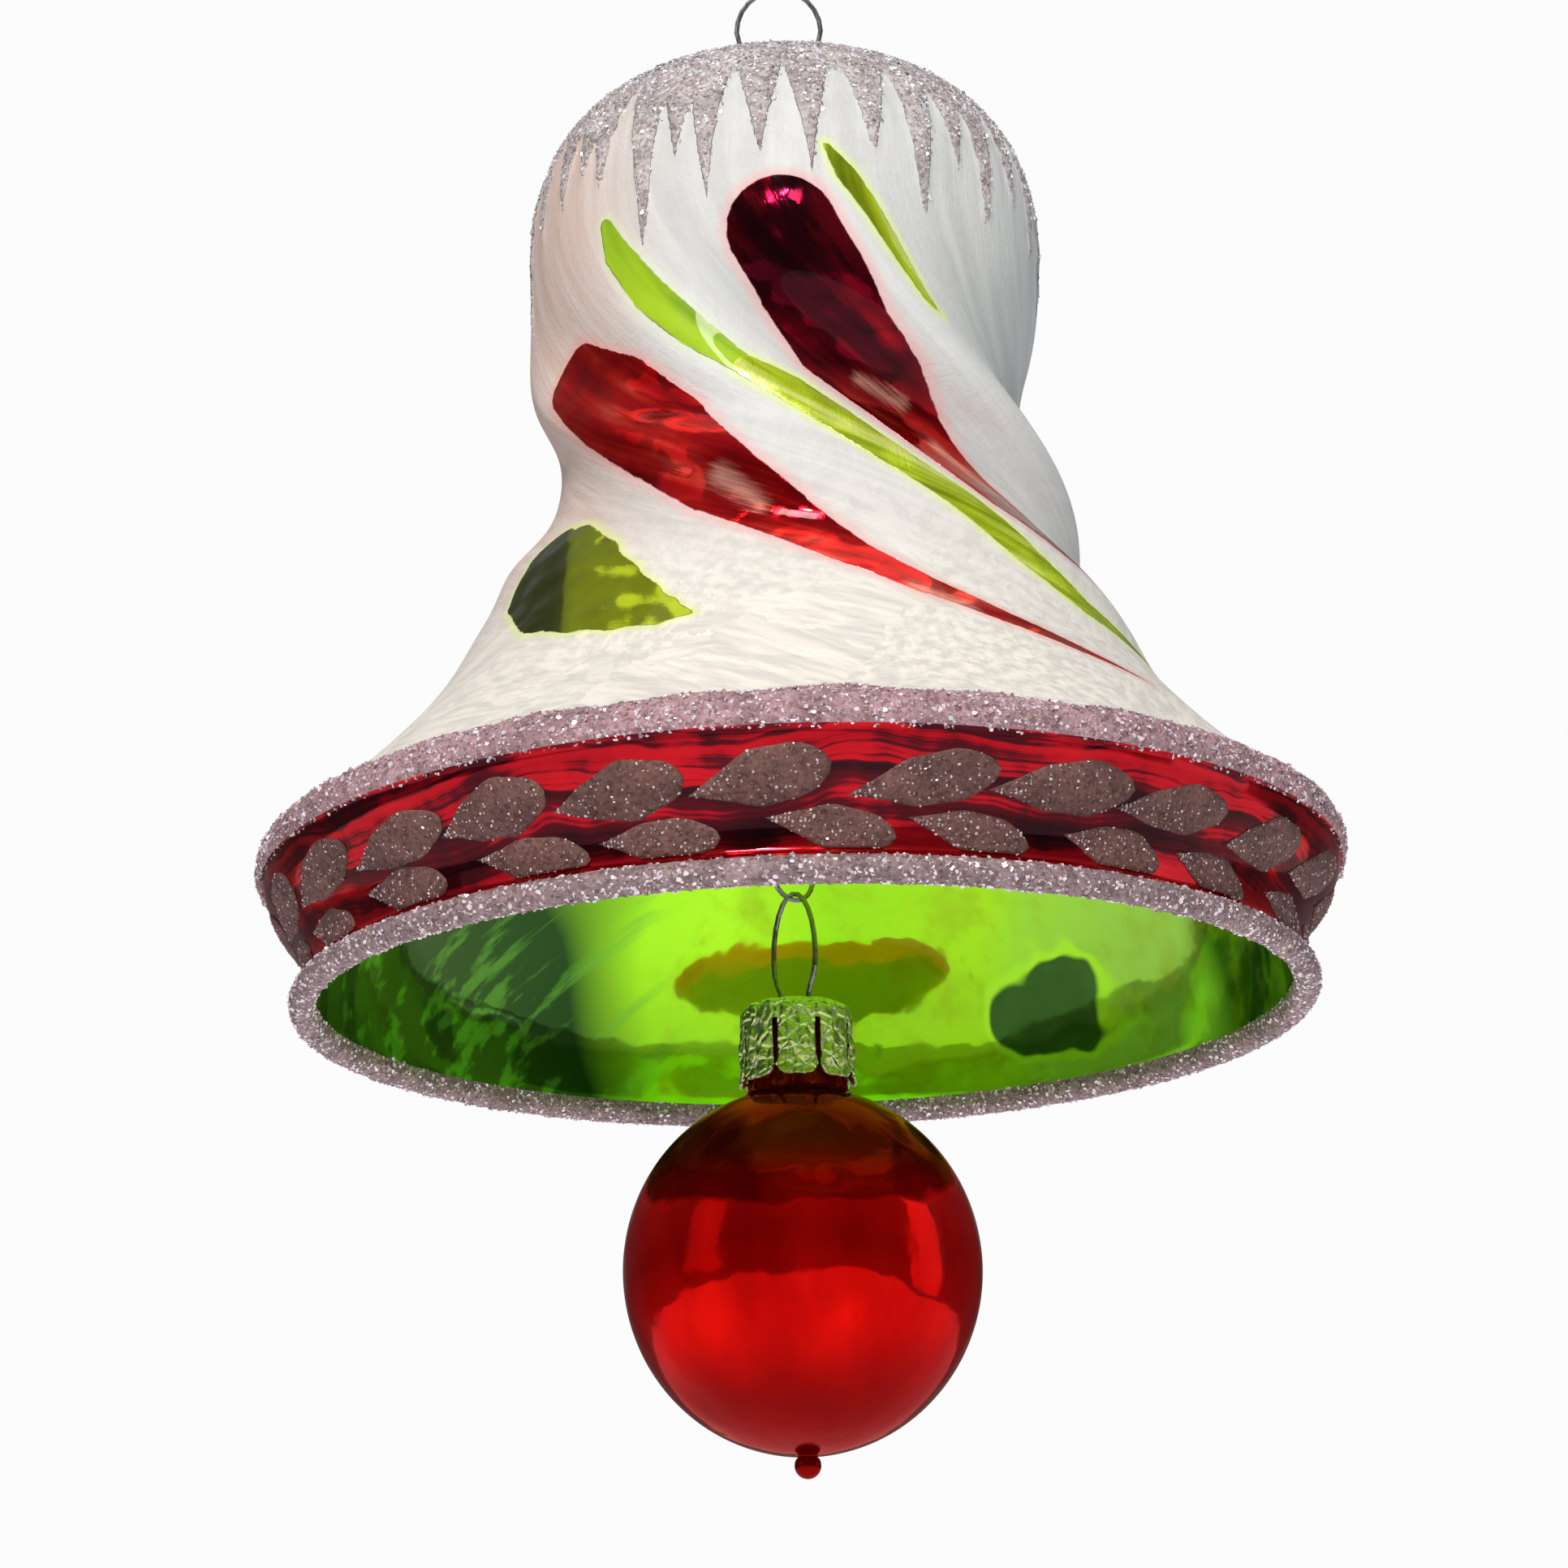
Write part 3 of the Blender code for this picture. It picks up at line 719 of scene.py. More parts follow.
lacquers = {
    # painted shade and painted light on the red lacquer: a shaded red and a lit red
    "paintedShadeRed": (
        (0.3, (0.02, 0.0, 0.003)), (0.55, (0.07, 0.0, 0.006)), (0.72, (0.24, 0.001, 0.010)),
        (0.9, (0.6, 0.004, 0.012)),
    ),
    "paintedLightRed": (
        (0.2, (0.24, 0.001, 0.006)), (0.45, (0.62, 0.003, 0.006)), (0.65, (0.92, 0.02, 0.015)),
        (0.85, (1.0, 0.12, 0.08)),
    ),
    "green": (
        (0.0, (0.20, 0.27, 0.004)), (0.35, (0.42, 0.54, 0.01)), (0.7, (0.60, 0.80, 0.02)),
        (1.0, (0.90, 1.0, 0.24)),
    ),
    "olive": (
        (0.22, (0.06, 0.075, 0.001)), (0.5, (0.10, 0.125, 0.002)), (0.62, (0.34, 0.42, 0.006)),
        (0.9, (0.50, 0.60, 0.012)),
    ),
    "lime": ((0.15, 0.30, 0.004), (0.36, 0.56, 0.015)),
    "paintedGlint": (1.0, 0.30, 0.22),
    "paintedGlintGlow": (1.0, 0.62, 0.48),
    # painted reflected colour: each lacquer's colour cast onto the frost beside its stripe: (lacquer, reach
    # in mm, share, tint)
    "paintedReflectedTint": (
        ("red", 1.3, 0.38, (0.90, 0.25, 0.25)),
        ("green", 1.0, 0.5, (0.72, 0.90, 0.12)),
        ("olive", 1.0, 0.5, (0.72, 0.90, 0.12)),
        ("lime", 1.0, 0.3, (0.72, 0.88, 0.4)),
    ),
}


def crystalPlates(tree, here):
    # plates of frost, each with its feathers laid its own way
    crystal = pushed(tree, here, here, 9.0, 0.16, 3.0, 0.6)
    plates = addNode(tree, "TexVoronoi", {"Vector": crystal, "Scale": 0.095}).outputs["Color"]
    tone = addNode(tree, "SeparateColor", {"Color": plates}).outputs
    values = {"Vector": here, "Axis": plates, "Angle": times(tree, tone["Red"], 5.5)}
    laid = addNode(tree, "VectorRotate", values, rotation_type="AXIS_ANGLE").outputs[0]
    fern = placeGroup(tree, brushStreaks, {"Vector": laid, "Scale": 0.9, "Stretch": 0.07, "Contrast": 0.16})
    return tone["Green"], fern


def frostColor(tree, here, flow, plate, fern, swept):
    low = remap(tree, axisOf(tree, flow, "Z"), 46.0, 18.0)
    sideways = axisOf(tree, here, "X")
    # painted shade in the folds and painted light on the ridges, following the fold height
    ridge = remap(tree, attribute(tree, "foldShade"), -0.42, 0.12)
    tone = blendColors(tree, ridge, frost["paintedFoldShade"], frost["paintedRidgeLight"])
    # painted shade: rosy towards the left side, cool grey towards the right side
    tone = blendColors(tree, remap(tree, sideways, -8.0, -20.0, 0.0, 0.85), tone, frost["paintedShadeLeft"])
    tone = blendColors(tree, remap(tree, sideways, 4.0, 21.0, 0.0, 0.45), tone, frost["paintedShadeRight"])
    # painted warm light on the lower skirt
    tone = blendColors(tree, low, tone, frost["paintedWarmLightSkirt"])
    tone = blendColors(tree, times(tree, plate, 0.16), tone, frost["plate"])
    strokes = times(tree, plus(tree, times(tree, low, 0.6), 0.4), fern["Streak"])
    tone = blendColors(tree, times(tree, strokes, 0.62), tone, frost["stroke"])
    return blendColors(tree, times(tree, swept["Streak"], 0.22), tone, frost["sweep"])


def paintTones(tree, here, flow, drawn):
    # the four lacquers, with painted light where the red one is brighter and painted glints on it
    clouds = plus(tree, times(tree, drawn["Streak"], 0.45), times(tree, noiseOf(tree, here, 0.17, 2.0), 0.6))
    dark, bright = ramp(tree, clouds, lacquers["paintedShadeRed"]), ramp(tree, clouds, lacquers["paintedLightRed"])
    red = blendColors(tree, attribute(tree, "redPaintedLight"), dark, bright)
    shreds = waver(tree, stretched(tree, flow, (2.2, 2.2, 0.5)), 2.0, 1.0, 3.0, 0.6)
    paintedGlint = remap(tree, plus(tree, attribute(tree, "paintedGlintDepth"), shreds), -0.8, 1.0)
    lit = remap(tree, axisOf(tree, here, "X"), -20.0, -17.8, 0.0, 0.62)
    oliveClouds = plus(tree, lit, times(tree, noiseOf(tree, here, 0.35, 4.0), 0.38))
    tones = {
        "lime": blendColors(tree, drawn["Streak"], *lacquers["lime"]),
        "green": ramp(tree, drawn["Streak"], lacquers["green"]),
        "olive": ramp(tree, oliveClouds, lacquers["olive"]),
        "red": blendColors(tree, paintedGlint, red, lacquers["paintedGlint"]),
    }
    return tones, paintedGlint


def glitterMasks(tree, here):
    speck = waver(tree, here, 1.1, 2.2, 2.0)
    crown = remap(tree, plus(tree, attribute(tree, "crownDepth"), speck), -0.1, 0.25)
    shoulder = remap(tree, plus(tree, attribute(tree, "shoulderDepth"), speck), -0.05, 0.15)
    return shoulder, calc(tree, "MAXIMUM", crown, shoulder)


def makeFrostLacquer():
    material, tree, shader = newMaterial("frostLacquer")
    here, flow = places(tree), attribute(tree, "flow", "Vector")
    plate, fern = crystalPlates(tree, here)
    swept = placeGroup(tree, brushStreaks, {"Vector": flow, "Scale": 0.55, "Stretch": 0.05, "Contrast": 0.2})
    drawn = placeGroup(tree, brushStreaks, {"Vector": flow, "Scale": 0.26, "Stretch": 0.05, "Contrast": 0.2})
    tones, paintedGlint = paintTones(tree, here, flow, drawn)
    ragged = waver(tree, here, 0.28, 1.3)
    edges = {name: plus(tree, attribute(tree, f"{name}Depth"), ragged) for name in tones}
    masks = {name: remap(tree, edge, -0.06, 0.06) for name, edge in edges.items()}
    tone = frostColor(tree, here, flow, plate, fern, swept)
    for name, reach, share, tint in lacquers["paintedReflectedTint"]:
        tone = blendColors(tree, remap(tree, edges[name], -reach, 0.0, 0.0, share), tone, tint)
    for name, lacquer in tones.items():
        tone = blendColors(tree, masks[name], tone, lacquer)
    leafy = calc(tree, "MAXIMUM", times(tree, masks["green"], 0.7), masks["olive"])
    mirror = calc(tree, "MAXIMUM", masks["red"], leafy)
    painted = calc(tree, "MAXIMUM", mirror, masks["lime"])
    shoulder, coat = glitterMasks(tree, here)
    grainTint = blendColors(tree, shoulder, glitterTints["crown"], glitterTints["shoulder"])
    grain = placeGroup(tree, glitterGrain, {"Vector": here, "Scale": 3.4, "Shine": 0.45, "Tint": grainTint})
    frostRough = remap(tree, fern["Fine"], 0.3, 0.7, 0.46, 0.66)
    gloss = remap(tree, drawn["Fine"], 0.3, 0.75, 0.05, 0.2)
    # feathers stand up where the frost is bare, and the lacquers lie lower and ripple
    feathers = plus(tree, times(tree, fern["Fine"], 0.35), times(tree, swept["Fine"], 0.3))
    raised = times(tree, feathers, opposite(tree, times(tree, painted, 0.85)))
    lip = times(tree, opposite(tree, painted), 0.5)
    ripple = times(tree, times(tree, noiseOf(tree, here, 0.34, 0.5, 0.4), 3.4), painted)
    relief = bumped(tree, plus(tree, plus(tree, raised, lip), ripple), 0.00022, 0.8)
    grains = {"Height": times(tree, grain["Height"], coat), "Distance": 0.00025, "Normal": relief}
    looks = {
        "Base Color": blendColors(tree, coat, tone, grain["Color"]),
        "Metallic": times(tree, times(tree, mirror, 0.92), opposite(tree, coat)),
        "Roughness": mixed(tree, coat, mixed(tree, mirror, frostRough, gloss), grain["Roughness"]),
        "Specular IOR Level": 0.25,
        "Specular Tint": (0.6, 0.6, 0.5, 1.0),
        "Coat Weight": times(tree, painted, 0.2),
        "Coat Roughness": 0.04,
        # the painted glints glow a little, though no lamp is there
        "Emission Color": (*lacquers["paintedGlintGlow"], 1.0),
        "Emission Strength": times(tree, times(tree, paintedGlint, masks["red"]), 0.22),
        "Normal": addNode(tree, "Bump", grains).outputs[0],
    }
    fill(tree, shader, looks)
    return material


redBand = {
    "tones": (
        (0.40, (0.02, 0.0, 0.003)), (0.48, (0.10, 0.0, 0.006)), (0.52, (0.50, 0.001, 0.010)),
        (0.58, (0.62, 0.005, 0.013)), (0.72, (1.0, 0.05, 0.04)),
    ),
    "foot": 2.5,  # mm over the rim
    "topPaintedHighlight": 0.07,
    "footPaintedHighlight": 0.14,
}


def makeRedMirror():
    # painted reflections: lanes of light and dark along the band, with painted highlights brighter at its two
    # edges
    material, tree, shader = newMaterial("redMirror")
    here = places(tree)
    glass = placeGroup(tree, blownGlass, {"Vector": here, "Scale": 0.09, "Lines": 0.05})
    wavy = plus(tree, axisOf(tree, here, "Z"), times(tree, noiseOf(tree, here, 0.07, 3.0), 5.0))
    level = calc(tree, "SUBTRACT", wavy, rimZ / mm + redBand["foot"])
    topEdge = remap(tree, level, 7.6, 9.2, 0.0, redBand["topPaintedHighlight"])
    footEdge = remap(tree, level, 3.6, 2.2, 0.0, redBand["footPaintedHighlight"])
    bias = calc(tree, "SUBTRACT", plus(tree, topEdge, footEdge), 0.055)
    upright = addNode(tree, "CombineXYZ", {"Z": wavy}).outputs[0]
    lanes = times(tree, noiseOf(tree, upright, 0.75, 3.0, 0.6), 0.65)
    mixture = plus(tree, plus(tree, lanes, times(tree, glass["Cloud"], 0.35)), bias)
    looks = {
        "Base Color": ramp(tree, mixture, redBand["tones"]),
        "Metallic": 0.9,
        "Roughness": remap(tree, glass["Cloud"], 0.3, 0.7, 0.05, 0.16),
        "Specular Tint": (1.0, 0.45, 0.45, 1.0),
        "Coat Weight": 0.2,
        "Coat Roughness": 0.03,
        "Normal": bumped(tree, glass["Height"], 0.0009, 0.6),
    }
    fill(tree, shader, looks)
    return material


# The bowl in the mouth, painted with reflections: bright and dark panes run from its left side to its right
greenBowl = {
    "halfSpan": 45.0,
    "paintedReflectionPanes": (
        (0.0, (0.03, 0.07, 0.012)), (0.14, (0.04, 0.11, 0.010)), (0.27, (0.014, 0.07, 0.004)),
        (0.35, (0.42, 0.96, 0.01)), (0.44, (0.46, 0.98, 0.01)), (0.56, (0.32, 0.78, 0.0)),
        (0.70, (0.38, 0.80, 0.004)), (0.74, (0.34, 0.74, 0.03)), (0.87, (0.34, 0.66, 0.06)),
        (0.90, (0.02, 0.09, 0.006)), (1.0, (0.006, 0.045, 0.006)),
    ),
    "paintedYellowReflection": (0.30, 0.42, 0.0),
    "ring": (0.42, 0.90, 0.02),
    "reflectedDark": ((0.012, 0.06, 0.004), (0.06, 0.18, 0.012)),
    "streak": (0.16, 0.50, 0.04),
    "spotSqueeze": (0.75, 0.75, 1.15),
    "spot": (22.0, 28.5, (rimZ / mm + 7.0) * 1.15 + 4.5),  # in the squeezed space, in mm
}


def paintedReflectionSpotOn(tree, here, tone, cloudy):
    # painted reflection: one dark oval with a bright ring, its edge pushed about by noise
    squeezed = stretched(tree, here, greenBowl["spotSqueeze"])
    values = {0: pushed(tree, squeezed, here, 9.0, 0.12, 2.0, 0.5), 1: greenBowl["spot"]}
    oval = addNode(tree, "VectorMath", values, operation="DISTANCE").outputs["Value"]
    ringed = blendColors(tree, remap(tree, oval, 6.4, 5.6), tone, greenBowl["ring"])
    reflectedDark = blendColors(tree, cloudy, *greenBowl["reflectedDark"])
    return blendColors(tree, remap(tree, oval, 5.4, 4.8), ringed, reflectedDark)


def makeGreenMirror():
    material, tree, shader = newMaterial("greenMirror")
    here = places(tree)
    glass = placeGroup(tree, blownGlass, {"Vector": here, "Scale": 0.075, "Lines": 0.04})
    bend = waver(tree, here, 18.0, 0.045, 1.0, 0.4)
    lift = calc(tree, "SUBTRACT", axisOf(tree, here, "Z"), rimZ / mm)
    across = plus(tree, plus(tree, axisOf(tree, here, "X"), bend), times(tree, lift, 0.1))
    span = greenBowl["halfSpan"]
    paintedReflectionPanes = ramp(tree, remap(tree, across, -span, span, curve="LINEAR"), greenBowl["paintedReflectionPanes"])
    cloudy = noiseOf(tree, here, 0.2, 4.0, 0.6)
    # painted reflection: yellow patches away from the left side
    leftSide = remap(tree, across, -9.0, -16.0)
    yellowReflectionShare = times(tree, remap(tree, cloudy, 0.45, 0.72, 0.0, 0.55), opposite(tree, leftSide))
    tone = paintedReflectionSpotOn(tree, here, blendColors(tree, yellowReflectionShare, paintedReflectionPanes, greenBowl["paintedYellowReflection"]), cloudy)
    # painted reflection: fine slanting streaks on the left side
    values = {"Vector": here, "Axis": (0.0, 1.0, 0.0), "Angle": -0.95}
    slanting = addNode(tree, "VectorRotate", values, rotation_type="AXIS_ANGLE").outputs[0]
    settings = {"Vector": slanting, "Scale": 0.45, "Stretch": 0.02, "Contrast": 0.16}
    fine = remap(tree, placeGroup(tree, brushStreaks, settings)["Streak"], 0.55, 1.0)
    streaks = times(tree, times(tree, fine, leftSide), 0.5)
    looks = {
        "Base Color": blendColors(tree, streaks, tone, greenBowl["streak"]),
        "Metallic": 0.62,
        "Roughness": remap(tree, glass["Cloud"], 0.3, 0.7, 0.03, 0.10),
        "Specular IOR Level": 0.25,
        "Coat Weight": 0.15,
        "Coat Roughness": 0.02,
        "Normal": bumped(tree, glass["Height"], 0.0012, 0.5),
    }
    fill(tree, shader, looks)
    return material


def makeInnerSilver():
    material, tree, shader = newMaterial("innerSilver")
    cloud = placeGroup(tree, blownGlass, {"Vector": places(tree), "Scale": 0.1, "Lines": 0.05})["Cloud"]
    looks = {
        "Base Color": blendColors(tree, cloud, (0.55, 0.56, 0.56), (0.78, 0.78, 0.76)),
        "Roughness": remap(tree, cloud, 0.3, 0.7, 0.1, 0.25),
        "Metallic": 0.9,
    }
    fill(tree, shader, looks)
    return material


frostLacquer = makeFrostLacquer()
redMirror = makeRedMirror()
greenMirror = makeGreenMirror()
innerSilver = makeInnerSilver()
bellShape = buildBell()
print("bell glass blown and painted")


# Glitter over the crown, the shoulder and the rim

glitter = {"crown": 15000, "shoulder": 9500, "rim": 8500, "small": 0.00011, "large": 0.00022}


def scatter(name, weight, material):
    count = glitter[name]
    grid = bellShape["grid"]
    rowGap = np.linalg.norm(np.roll(grid, -1, axis=0) - grid, axis=2)
    columnGap = np.linalg.norm(np.roll(grid, -1, axis=1) - grid, axis=2)
    share = (weight * rowGap * columnGap).ravel()
    pick = dice.choice(share.size, count, p=share / share.sum())
    rows, columns = np.unravel_index(pick, weight.shape)
    below, beside = (rows + 1) % weight.shape[0], (columns + 1) % weight.shape[1]
    a, b = dice.uniform(0, 1, (2, count, 1))
    points = grid[rows, columns] + a * (grid[below, columns] - grid[rows, columns])
    points = points + b * (grid[rows, beside] - grid[rows, columns])
    sizes = dice.uniform(glitter["small"], glitter["large"], count) * dice.choice((0.8, 1.0, 1.25), count)
    glitterChips(f"{name}Glitter", points, bellShape["normals"][rows, columns], sizes, material, chip["tilt"])


def buildGlitter():
    heights = bellShape["heights"] / mm
    onRim = (bellShape["kinds"] == "rim")[:, None]
    upward = 0.35 + 0.65 * smoothStep(heights, 66, 82)
    scatter("crown", smoothStep(bellShape["crown"], -0.15, 0.3) * upward, crownChip)
    scatter("shoulder", smoothStep(bellShape["shoulder"], -0.25, 0.3), rimChip)
    scatter("rim", np.broadcast_to(onRim, heights.shape) * 1.0, rimChip)


buildGlitter()
print("glitter strewn")


# Leaves of glitter round the red band: angles in degrees, the rows' lengths in mm

leaves = {
    "upper": {
        "count": 24, "first": -3.0, "height": 6.6, "length": 11.6,
        "width": 4.5, "tilt": 11, "blunt": 0.62, "seed": 3,
    },
    "lower": {
        "count": 22, "first": 2.0, "height": 3.1, "length": 9.8,
        "width": 3.5, "tilt": -7, "blunt": 0.6, "seed": 5,
    },
    "rise": 0.0003,
    "sink": 0.00015,
    "lift": 0.00005,
    "along": 34,
    "across": 14,
    "chips": 95,
    "chipTilt": 0.5,
    "chipSizes": (0.00008, 0.00016),
}


def bandSpot(angle, reach, steps):
    # a point on the red band, reach in metres of profile down from the shoulder, with its outward normal
    band = bellShape["band"]
    radius, height = (np.interp(reach, steps, band[:, axis]) for axis in (0, 1))
    aheadRadius, aheadHeight = (np.interp(reach + 0.0001, steps, band[:, axis]) for axis in (0, 1))
    fall = aheadRadius - radius, aheadHeight - height
    size = np.maximum(np.hypot(*fall), 1e-9)
    turn = np.radians(angle)
    return turned(radius, turn, height + rimZ), turned(-fall[1] / size, turn, fall[0] / size)


def leafWidth(t, blunt):
    # pointed where it starts, widest past the middle, with a short point at the end
    grow = np.clip(t / blunt, 0, 1)
    fall = np.clip((t - blunt) / (1 - blunt), 0, 1)
    return np.sin(0.5 * math.pi * grow) ** 1.25 * np.sqrt(np.clip(1 - fall**1.7, 0, 1))


def layLeaf(row, i, pick, steps):
    band = bellShape["band"]
    centre = row["first"] + 360 / row["count"] * i + pick.uniform(-1.5, 1.5)
    length = row["length"] * pick.uniform(0.9, 1.06)
    width = row["width"] * pick.uniform(0.88, 1.08)
    tilt = math.radians(row["tilt"] + pick.uniform(-5, 5))
    middle = np.interp(-row["height"] * mm, -band[:, 1], steps) / mm + pick.uniform(-0.25, 0.25)
    lengthwise, sideways = np.linspace(0, 1, leaves["along"]), np.linspace(-1, 1, leaves["across"])
    t, s = np.meshgrid(lengthwise, sideways, indexing="ij")
    full = leafWidth(t, row["blunt"])
    u = (t - 0.5) * length
    v = s * 0.5 * width * full * (1 + 0.05 * np.sin(t * 17 + i))
    along = u * math.cos(tilt) - v * math.sin(tilt)
    down = np.clip(middle - (u * math.sin(tilt) + v * math.cos(tilt)), 0.15, steps[-1] / mm - 0.1)
    spot, normal = bandSpot(centre + np.degrees(along * mm / rimRadius), down * mm, steps)
    domed = leaves["rise"] * (1 - np.abs(s) ** 2.5) * (0.3 + 0.7 * np.clip(full, 0, 1)) + leaves["lift"]
    return spot + normal * domed[:, :, None], spot - normal * leaves["sink"], normal


def slabFaces(base, n, m):
    # the top, the underside and the four edges of one leaf, on a grid of n by m points
    at = lambda a, b, side: base + side * n * m + a * m + b
    faces = []
    for a in range(n - 1):
        for b in range(m - 1):
            faces.append((at(a, b, 0), at(a, b + 1, 0), at(a + 1, b + 1, 0), at(a + 1, b, 0)))
            faces.append((at(a, b, 1), at(a + 1, b, 1), at(a + 1, b + 1, 1), at(a, b + 1, 1)))
        faces.append((at(a, 0, 0), at(a + 1, 0, 0), at(a + 1, 0, 1), at(a, 0, 1)))
        faces.append((at(a, m - 1, 0), at(a, m - 1, 1), at(a + 1, m - 1, 1), at(a + 1, m - 1, 0)))
    for b in range(m - 1):
        faces.append((at(0, b, 0), at(0, b, 1), at(0, b + 1, 1), at(0, b + 1, 0)))
        faces.append((at(n - 1, b, 0), at(n - 1, b + 1, 0), at(n - 1, b + 1, 1), at(n - 1, b, 1)))
    return faces


def buildLeaves(rowName):
    row, chips = leaves[rowName], leaves["chips"]
    n, m = leaves["along"], leaves["across"]
    pick = np.random.default_rng(row["seed"])
    steps = travelled(bellShape["band"])
    points, faces, chipSpots, chipNormals = [], [], [], []
    for i in range(row["count"]):
        top, low, normal = layLeaf(row, i, pick, steps)
        faces += slabFaces(len(points), n, m)
        points += [*top.reshape(-1, 3), *low.reshape(-1, 3)]
        choice = pick.integers(2, n - 2, chips), pick.integers(0, m - 1, chips)
        shift = pick.uniform(0, 1, (chips, 1))
        chipSpots.append(top[choice] * (1 - shift) + top[choice[0], choice[1] + 1] * shift)
        chipNormals.append(normal[choice])
    meshObject(f"{rowName}Leaves", points, faces, [leafCoat], "bell")
    spots, normals = np.concatenate(chipSpots), np.concatenate(chipNormals)
    sizes = dice.uniform(*leaves["chipSizes"], len(spots))
    glitterChips(f"{rowName}LeafGlitter", spots, normals, sizes, leafChip, leaves["chipTilt"])


buildLeaves("upper")
buildLeaves("lower")
print("leaves laid on the band")


# Crown caps with their tabs, one on the bell and one on the clapper

caps = {
    "tabs": 8,
    "sheet": 0.00026,
    "outset": 0.00025,  # the room that ribs and flare take outside the sheet
    "slit": 0.0005,
    "slitDrop": 0.0008,
    "corner": 0.0011,
    "endRound": 0.0009,
    "dent": 0.00013,
    "dentScale": 900,
    "topDent": 0.00006,
    "rib": 0.00016,
    "ribWidth": 0.00022,
    "ribPlace": 0.42,
    "bulge": 0.00012,
    "flare": 0.00025,
    "tabColumns": 22,
    "tabRows": 22,
    "silver": ((0.48, 0.50, 0.47), (0.86, 0.87, 0.83)),
    "bowlReflectionGreen": ((0.45, 0.60, 0.10), (0.80, 0.95, 0.30)),
    "crease": (0.95, 0.95, 0.93),
    "wire": ((0.16, 0.16, 0.15), (0.42, 0.42, 0.40)),
}


def makeCapSheet(name, dull, bright):
    material, tree, shader = newMaterial(name)
    here = places(tree)
    settings = {"Vector": here, "Scale": 0.9}
    creases = addNode(tree, "TexVoronoi", settings, feature="DISTANCE_TO_EDGE").outputs["Distance"]
    wear = noiseOf(tree, here, 1.4, 4.0, 0.6)
    tone = blendColors(tree, wear, dull, bright)
    crumple = plus(tree, remap(tree, creases, 0.0, 0.25), times(tree, wear, 1.4))
    looks = {
        "Base Color": blendColors(tree, remap(tree, creases, 0.0, 0.12, 0.5, 0.0), tone, caps["crease"]),
        "Metallic": 0.95,
        "Roughness": remap(tree, wear, 0.3, 0.7, 0.2, 0.42),
        "Normal": bumped(tree, crumple, 0.0002, 0.7),
    }
    fill(tree, shader, looks)
    return material


def makeSpringWire():
    material, tree, shader = newMaterial("springWire")
    drawn = noiseOf(tree, stretched(tree, places(tree), (9.0, 9.0, 0.8)), 1.0, 3.0, 0.6)
    looks = {
        "Base Color": blendColors(tree, drawn, *caps["wire"]),
        "Metallic": 1.0,
        "Roughness": remap(tree, drawn, 0.3, 0.7, 0.2, 0.4),
        "Normal": bumped(tree, drawn, 0.00003, 0.6),
    }
    fill(tree, shader, looks)
    return material


def tabColumn(crownRows, radius, foot, halfTab, aside, turn):
    # one line of points down the sheet: the crown's own, then the tab with its rib and round end
    slitTop = crownRows[-1][1]
    inward = np.clip((abs(aside) - (halfTab - caps["endRound"])) / caps["endRound"], 0, 1)
    lift = caps["endRound"] * (1 - math.sqrt(max(0.0, 1 - inward**2)))
    ribbed = caps["rib"] * math.exp(-(((abs(aside) - caps["ribPlace"] * halfTab) / caps["ribWidth"]) ** 2))
    bulge = caps["bulge"] * math.cos(math.pi * aside / (2 * halfTab))
    column = [(r, z, turn) for r, z in crownRows]
    for k in range(1, caps["tabRows"] + 1):
        t = k / caps["tabRows"]
        rib = ribbed * math.sin(math.pi * min(t * 1.08, 1))
        flare = caps["flare"] * max(0.0, (t - 0.75) / 0.25) ** 2
        z = slitTop + (foot + lift - slitTop) * t
        column.append((radius + rib + bulge * math.sin(math.pi * t) + flare, z, turn))
    return column


def capFaces(total, rows, crownCount):
    # quads between neighbouring columns, left open at the slits below the crown
    faces = []
    for c in range(total):
        here, beside = c * rows, (c + 1) % total * rows
        overSlit = (c + 1) % caps["tabColumns"] == 0
        for k in range(crownCount - 1 if overSlit else rows - 1):
            faces.append((here + k, here + k + 1, beside + k + 1, beside + k))
    faces.append(tuple(c * rows for c in range(total)))
    return faces


def buildCap(name, node, body, centreX, sheet):
    low, high = (Vector(corner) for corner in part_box(node))
    radius, top, corner = (high.x - low.x) / 2 - caps["outset"], high.z, caps["corner"]
    step = 2 * math.pi / caps["tabs"]
    gap = caps["slit"] / radius
    crownRows = [(radius * share, top) for share in (0.02, 0.3, 0.55)]
    crownRows += [tuple(p) for p in arc((radius - corner, top - corner), corner, 90, 0, 9)]
    crownRows += [(radius, top - corner - 0.0004), (radius, top - corner - caps["slitDrop"])]
    halfTab = 0.5 * (step - gap)
    columns = []
    for tab in range(caps["tabs"]):
        for offset in np.linspace(-halfTab, halfTab, caps["tabColumns"]):
            turn = step * tab + offset
            columns.append(tabColumn(crownRows, radius, low.z, halfTab * radius, offset * radius, turn))
    grid = np.array(columns)
    r, z, turn = grid[:, :, 0], grid[:, :, 1], grid[:, :, 2]
    dents = lumpy(turned(r, turn, z).reshape(-1, 3), caps["dentScale"], 3).reshape(r.shape)
    r = r + caps["dent"] * dents * np.clip(r / radius, 0, 1)
    points = turned(r, turn, z + caps["topDent"] * dents) + (centreX, 0, 0)
    faces = capFaces(len(columns), grid.shape[1], len(crownRows))
    obj = meshObject(name, points.reshape(-1, 3), faces, [sheet], body)
    shell = obj.modifiers.new("sheet", "SOLIDIFY")
    shell.thickness = caps["sheet"]
    shell.offset = -1
    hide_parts(node)


silverSheet = makeCapSheet("capSheet", *caps["silver"])
